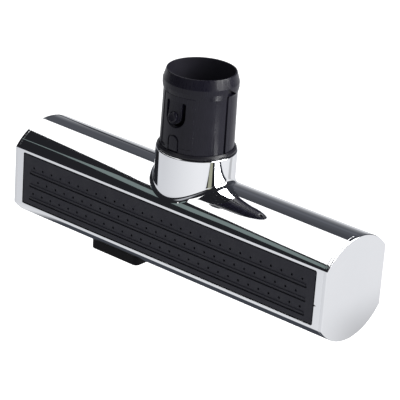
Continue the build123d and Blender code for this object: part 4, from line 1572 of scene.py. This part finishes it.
def scaled(tree, colour, gain):
    """A colour times a number."""
    return add(tree, "ShaderNodeVectorMath", {0: colour, "Scale": gain}, operation="SCALE").outputs["Vector"]


def looked_at(tree, rays):
    """1 where the camera looks, straight or through something clear, and 0 elsewhere."""
    looks = {0: rays["Is Camera Ray"], 1: rays["Is Transmission Ray"]}
    return add(tree, "ShaderNodeMath", looks, operation="MAXIMUM").outputs[0]


def mirrored_floor(tree):
    """Colour of the mirrored floor: painted lighter to the right, a painted bar shadow and painted shade."""
    place = add(tree, "ShaderNodeTexCoord").outputs["Object"]
    axes = add(tree, "ShaderNodeSeparateXYZ", {"Vector": place})
    x, y = axes.outputs["X"], axes.outputs["Y"]
    # painted light: the mirrored floor gets lighter towards +X
    pale = shade(tree, spread(tree, x, 0, 1, -0.45, 0.45), (0.68, 0.69, 0.72), (0.93, 0.935, 0.96))
    slant = add(tree, "ShaderNodeMath", {0: times(tree, y, 0.6), 1: x}, operation="ADD").outputs[0]
    # painted shadow of the bar on the mirrored floor, at the rear left
    shadow = times(
        tree, fade(tree, slant, -0.196, -0.168), fade(tree, y, -0.045, 0.045),
        fade(tree, x, 0.05, 0.15, 1, 0), fade(tree, y, 0.30, 0.42, 1, 0))
    across = add(tree, "ShaderNodeMath", {0: y, 1: x}, operation="SUBTRACT").outputs[0]
    # painted shade: a darker patch on the mirrored floor, which the right end cap shows low on its right
    patch = times(
        tree, fade(tree, across, -0.05, 0.0, 0, 0.38), fade(tree, x, 0.252, 0.298, 1, 0),
        fade(tree, x, 0.15, 0.2))
    return shade(tree, shadow, shade(tree, patch, pale, (0, 0, 0)), (0.05, 0.055, 0.068))


print("made the floor's colours")

# %% Floor
floor_reach = 6.0


def make_floor():
    """Pale floor that differs for the camera, for polished metal and for all other light."""
    corners = [(x * floor_reach, y * floor_reach, floor_z) for x, y in ((-1, -1), (1, -1), (1, 1), (-1, 1))]
    floor, tree = flat_stage("floor", corners, "pale_floor")
    rays = add(tree, "ShaderNodeLightPath").outputs
    matt = add(tree, "ShaderNodeBsdfDiffuse", {"Color": (0.82, 0.82, 0.82, 1)}).outputs[0]
    lift = add(tree, "ShaderNodeEmission", {"Color": (1, 1, 1, 1), "Strength": 0.45}).outputs[0]
    seen = add(tree, "ShaderNodeAddShader", {0: matt, 1: lift}).outputs[0]
    direct = add(tree, "ShaderNodeMixShader", {"Fac": looked_at(tree, rays), 1: matt, 2: seen}).outputs[0]
    mirrored = add(tree, "ShaderNodeEmission", {"Color": mirrored_floor(tree), "Strength": 1.0}).outputs[0]
    both = add(tree, "ShaderNodeMixShader", {"Fac": rays["Is Glossy Ray"], 1: direct, 2: mirrored}).outputs[0]
    add(tree, "ShaderNodeOutputMaterial", {"Surface": both})
    return floor


floor = make_floor()
print("floor at", round(floor_z / mm, 1), "mm")

# %% [markdown]
# ### Room
#
# The room works the same way. The camera sees plain white, ordinary light is an even grey, and metal
# mirrors a room whose colour depends on the direction: nearly black in front with one soft light band high
# up, a blue-grey wall behind with a brighter streak, and a bright haze that rises from the horizon, highest
# at the left.

# %% Room as metal mirrors it
def mirrored_room(tree):
    """Colour of the room in a direction."""
    direction = add(tree, "ShaderNodeTexCoord").outputs["Generated"]
    axes = add(tree, "ShaderNodeSeparateXYZ", {"Vector": direction})
    x, y, z = axes.outputs["X"], axes.outputs["Y"], axes.outputs["Z"]
    wall = shade(tree, fade(tree, x, -0.35, 0.1), (0.084, 0.088, 0.102), (0.045, 0.048, 0.058))
    streak = times(
        tree, fade(tree, z, 0.26, 0.33), fade(tree, z, 0.36, 0.44, 1, 0), fade(tree, x, -0.61, -0.57))
    dimmed = fade(tree, z, 0.45, 0.62, 1.0, 0.72)
    gain = add(tree, "ShaderNodeMath", {0: streak, 1: 0.4, 2: dimmed}, operation="MULTIPLY_ADD").outputs[0]
    band = times(
        tree, fade(tree, y, -0.75, -0.45, 1, 0), fade(tree, z, 0.2, 0.36), fade(tree, z, 0.44, 0.62, 1, 0),
        fade(tree, x, -0.45, -0.25), fade(tree, x, 0.15, 0.45, 1, 0.35))
    front = shade(tree, band, (0.0165, 0.017, 0.02), (0.46, 0.47, 0.50))
    room = shade(tree, fade(tree, y, 0.05, 0.30), front, scaled(tree, wall, gain))
    haze_top = fade(tree, y, -0.15, 0.2, 0.02, fade(tree, x, -0.5, -0.2, 0.33, 0.03))
    return shade(tree, fade(tree, z, -0.20, haze_top), (0.53, 0.54, 0.565), room)


print("made the room's colours")

# %% World
def make_world():
    """White for the camera, the mirrored room for metal and an even grey for all other light."""
    world = bpy.data.worlds.new("studio")
    scene.world = world
    world.use_nodes = True
    world.cycles.sampling_method = "NONE"
    tree = world.node_tree
    tree.nodes.clear()
    rays = add(tree, "ShaderNodeLightPath").outputs
    plain = shade(tree, looked_at(tree, rays), (0.72, 0.72, 0.72), (1, 1, 1))
    chosen = shade(tree, rays["Is Glossy Ray"], plain, mirrored_room(tree))
    background = add(tree, "ShaderNodeBackground", {"Color": chosen, "Strength": 1.0})
    add(tree, "ShaderNodeOutputWorld", {"Surface": background.outputs[0]})
    return world


print("world", make_world().name)
scene.view_settings.view_transform = "Standard"
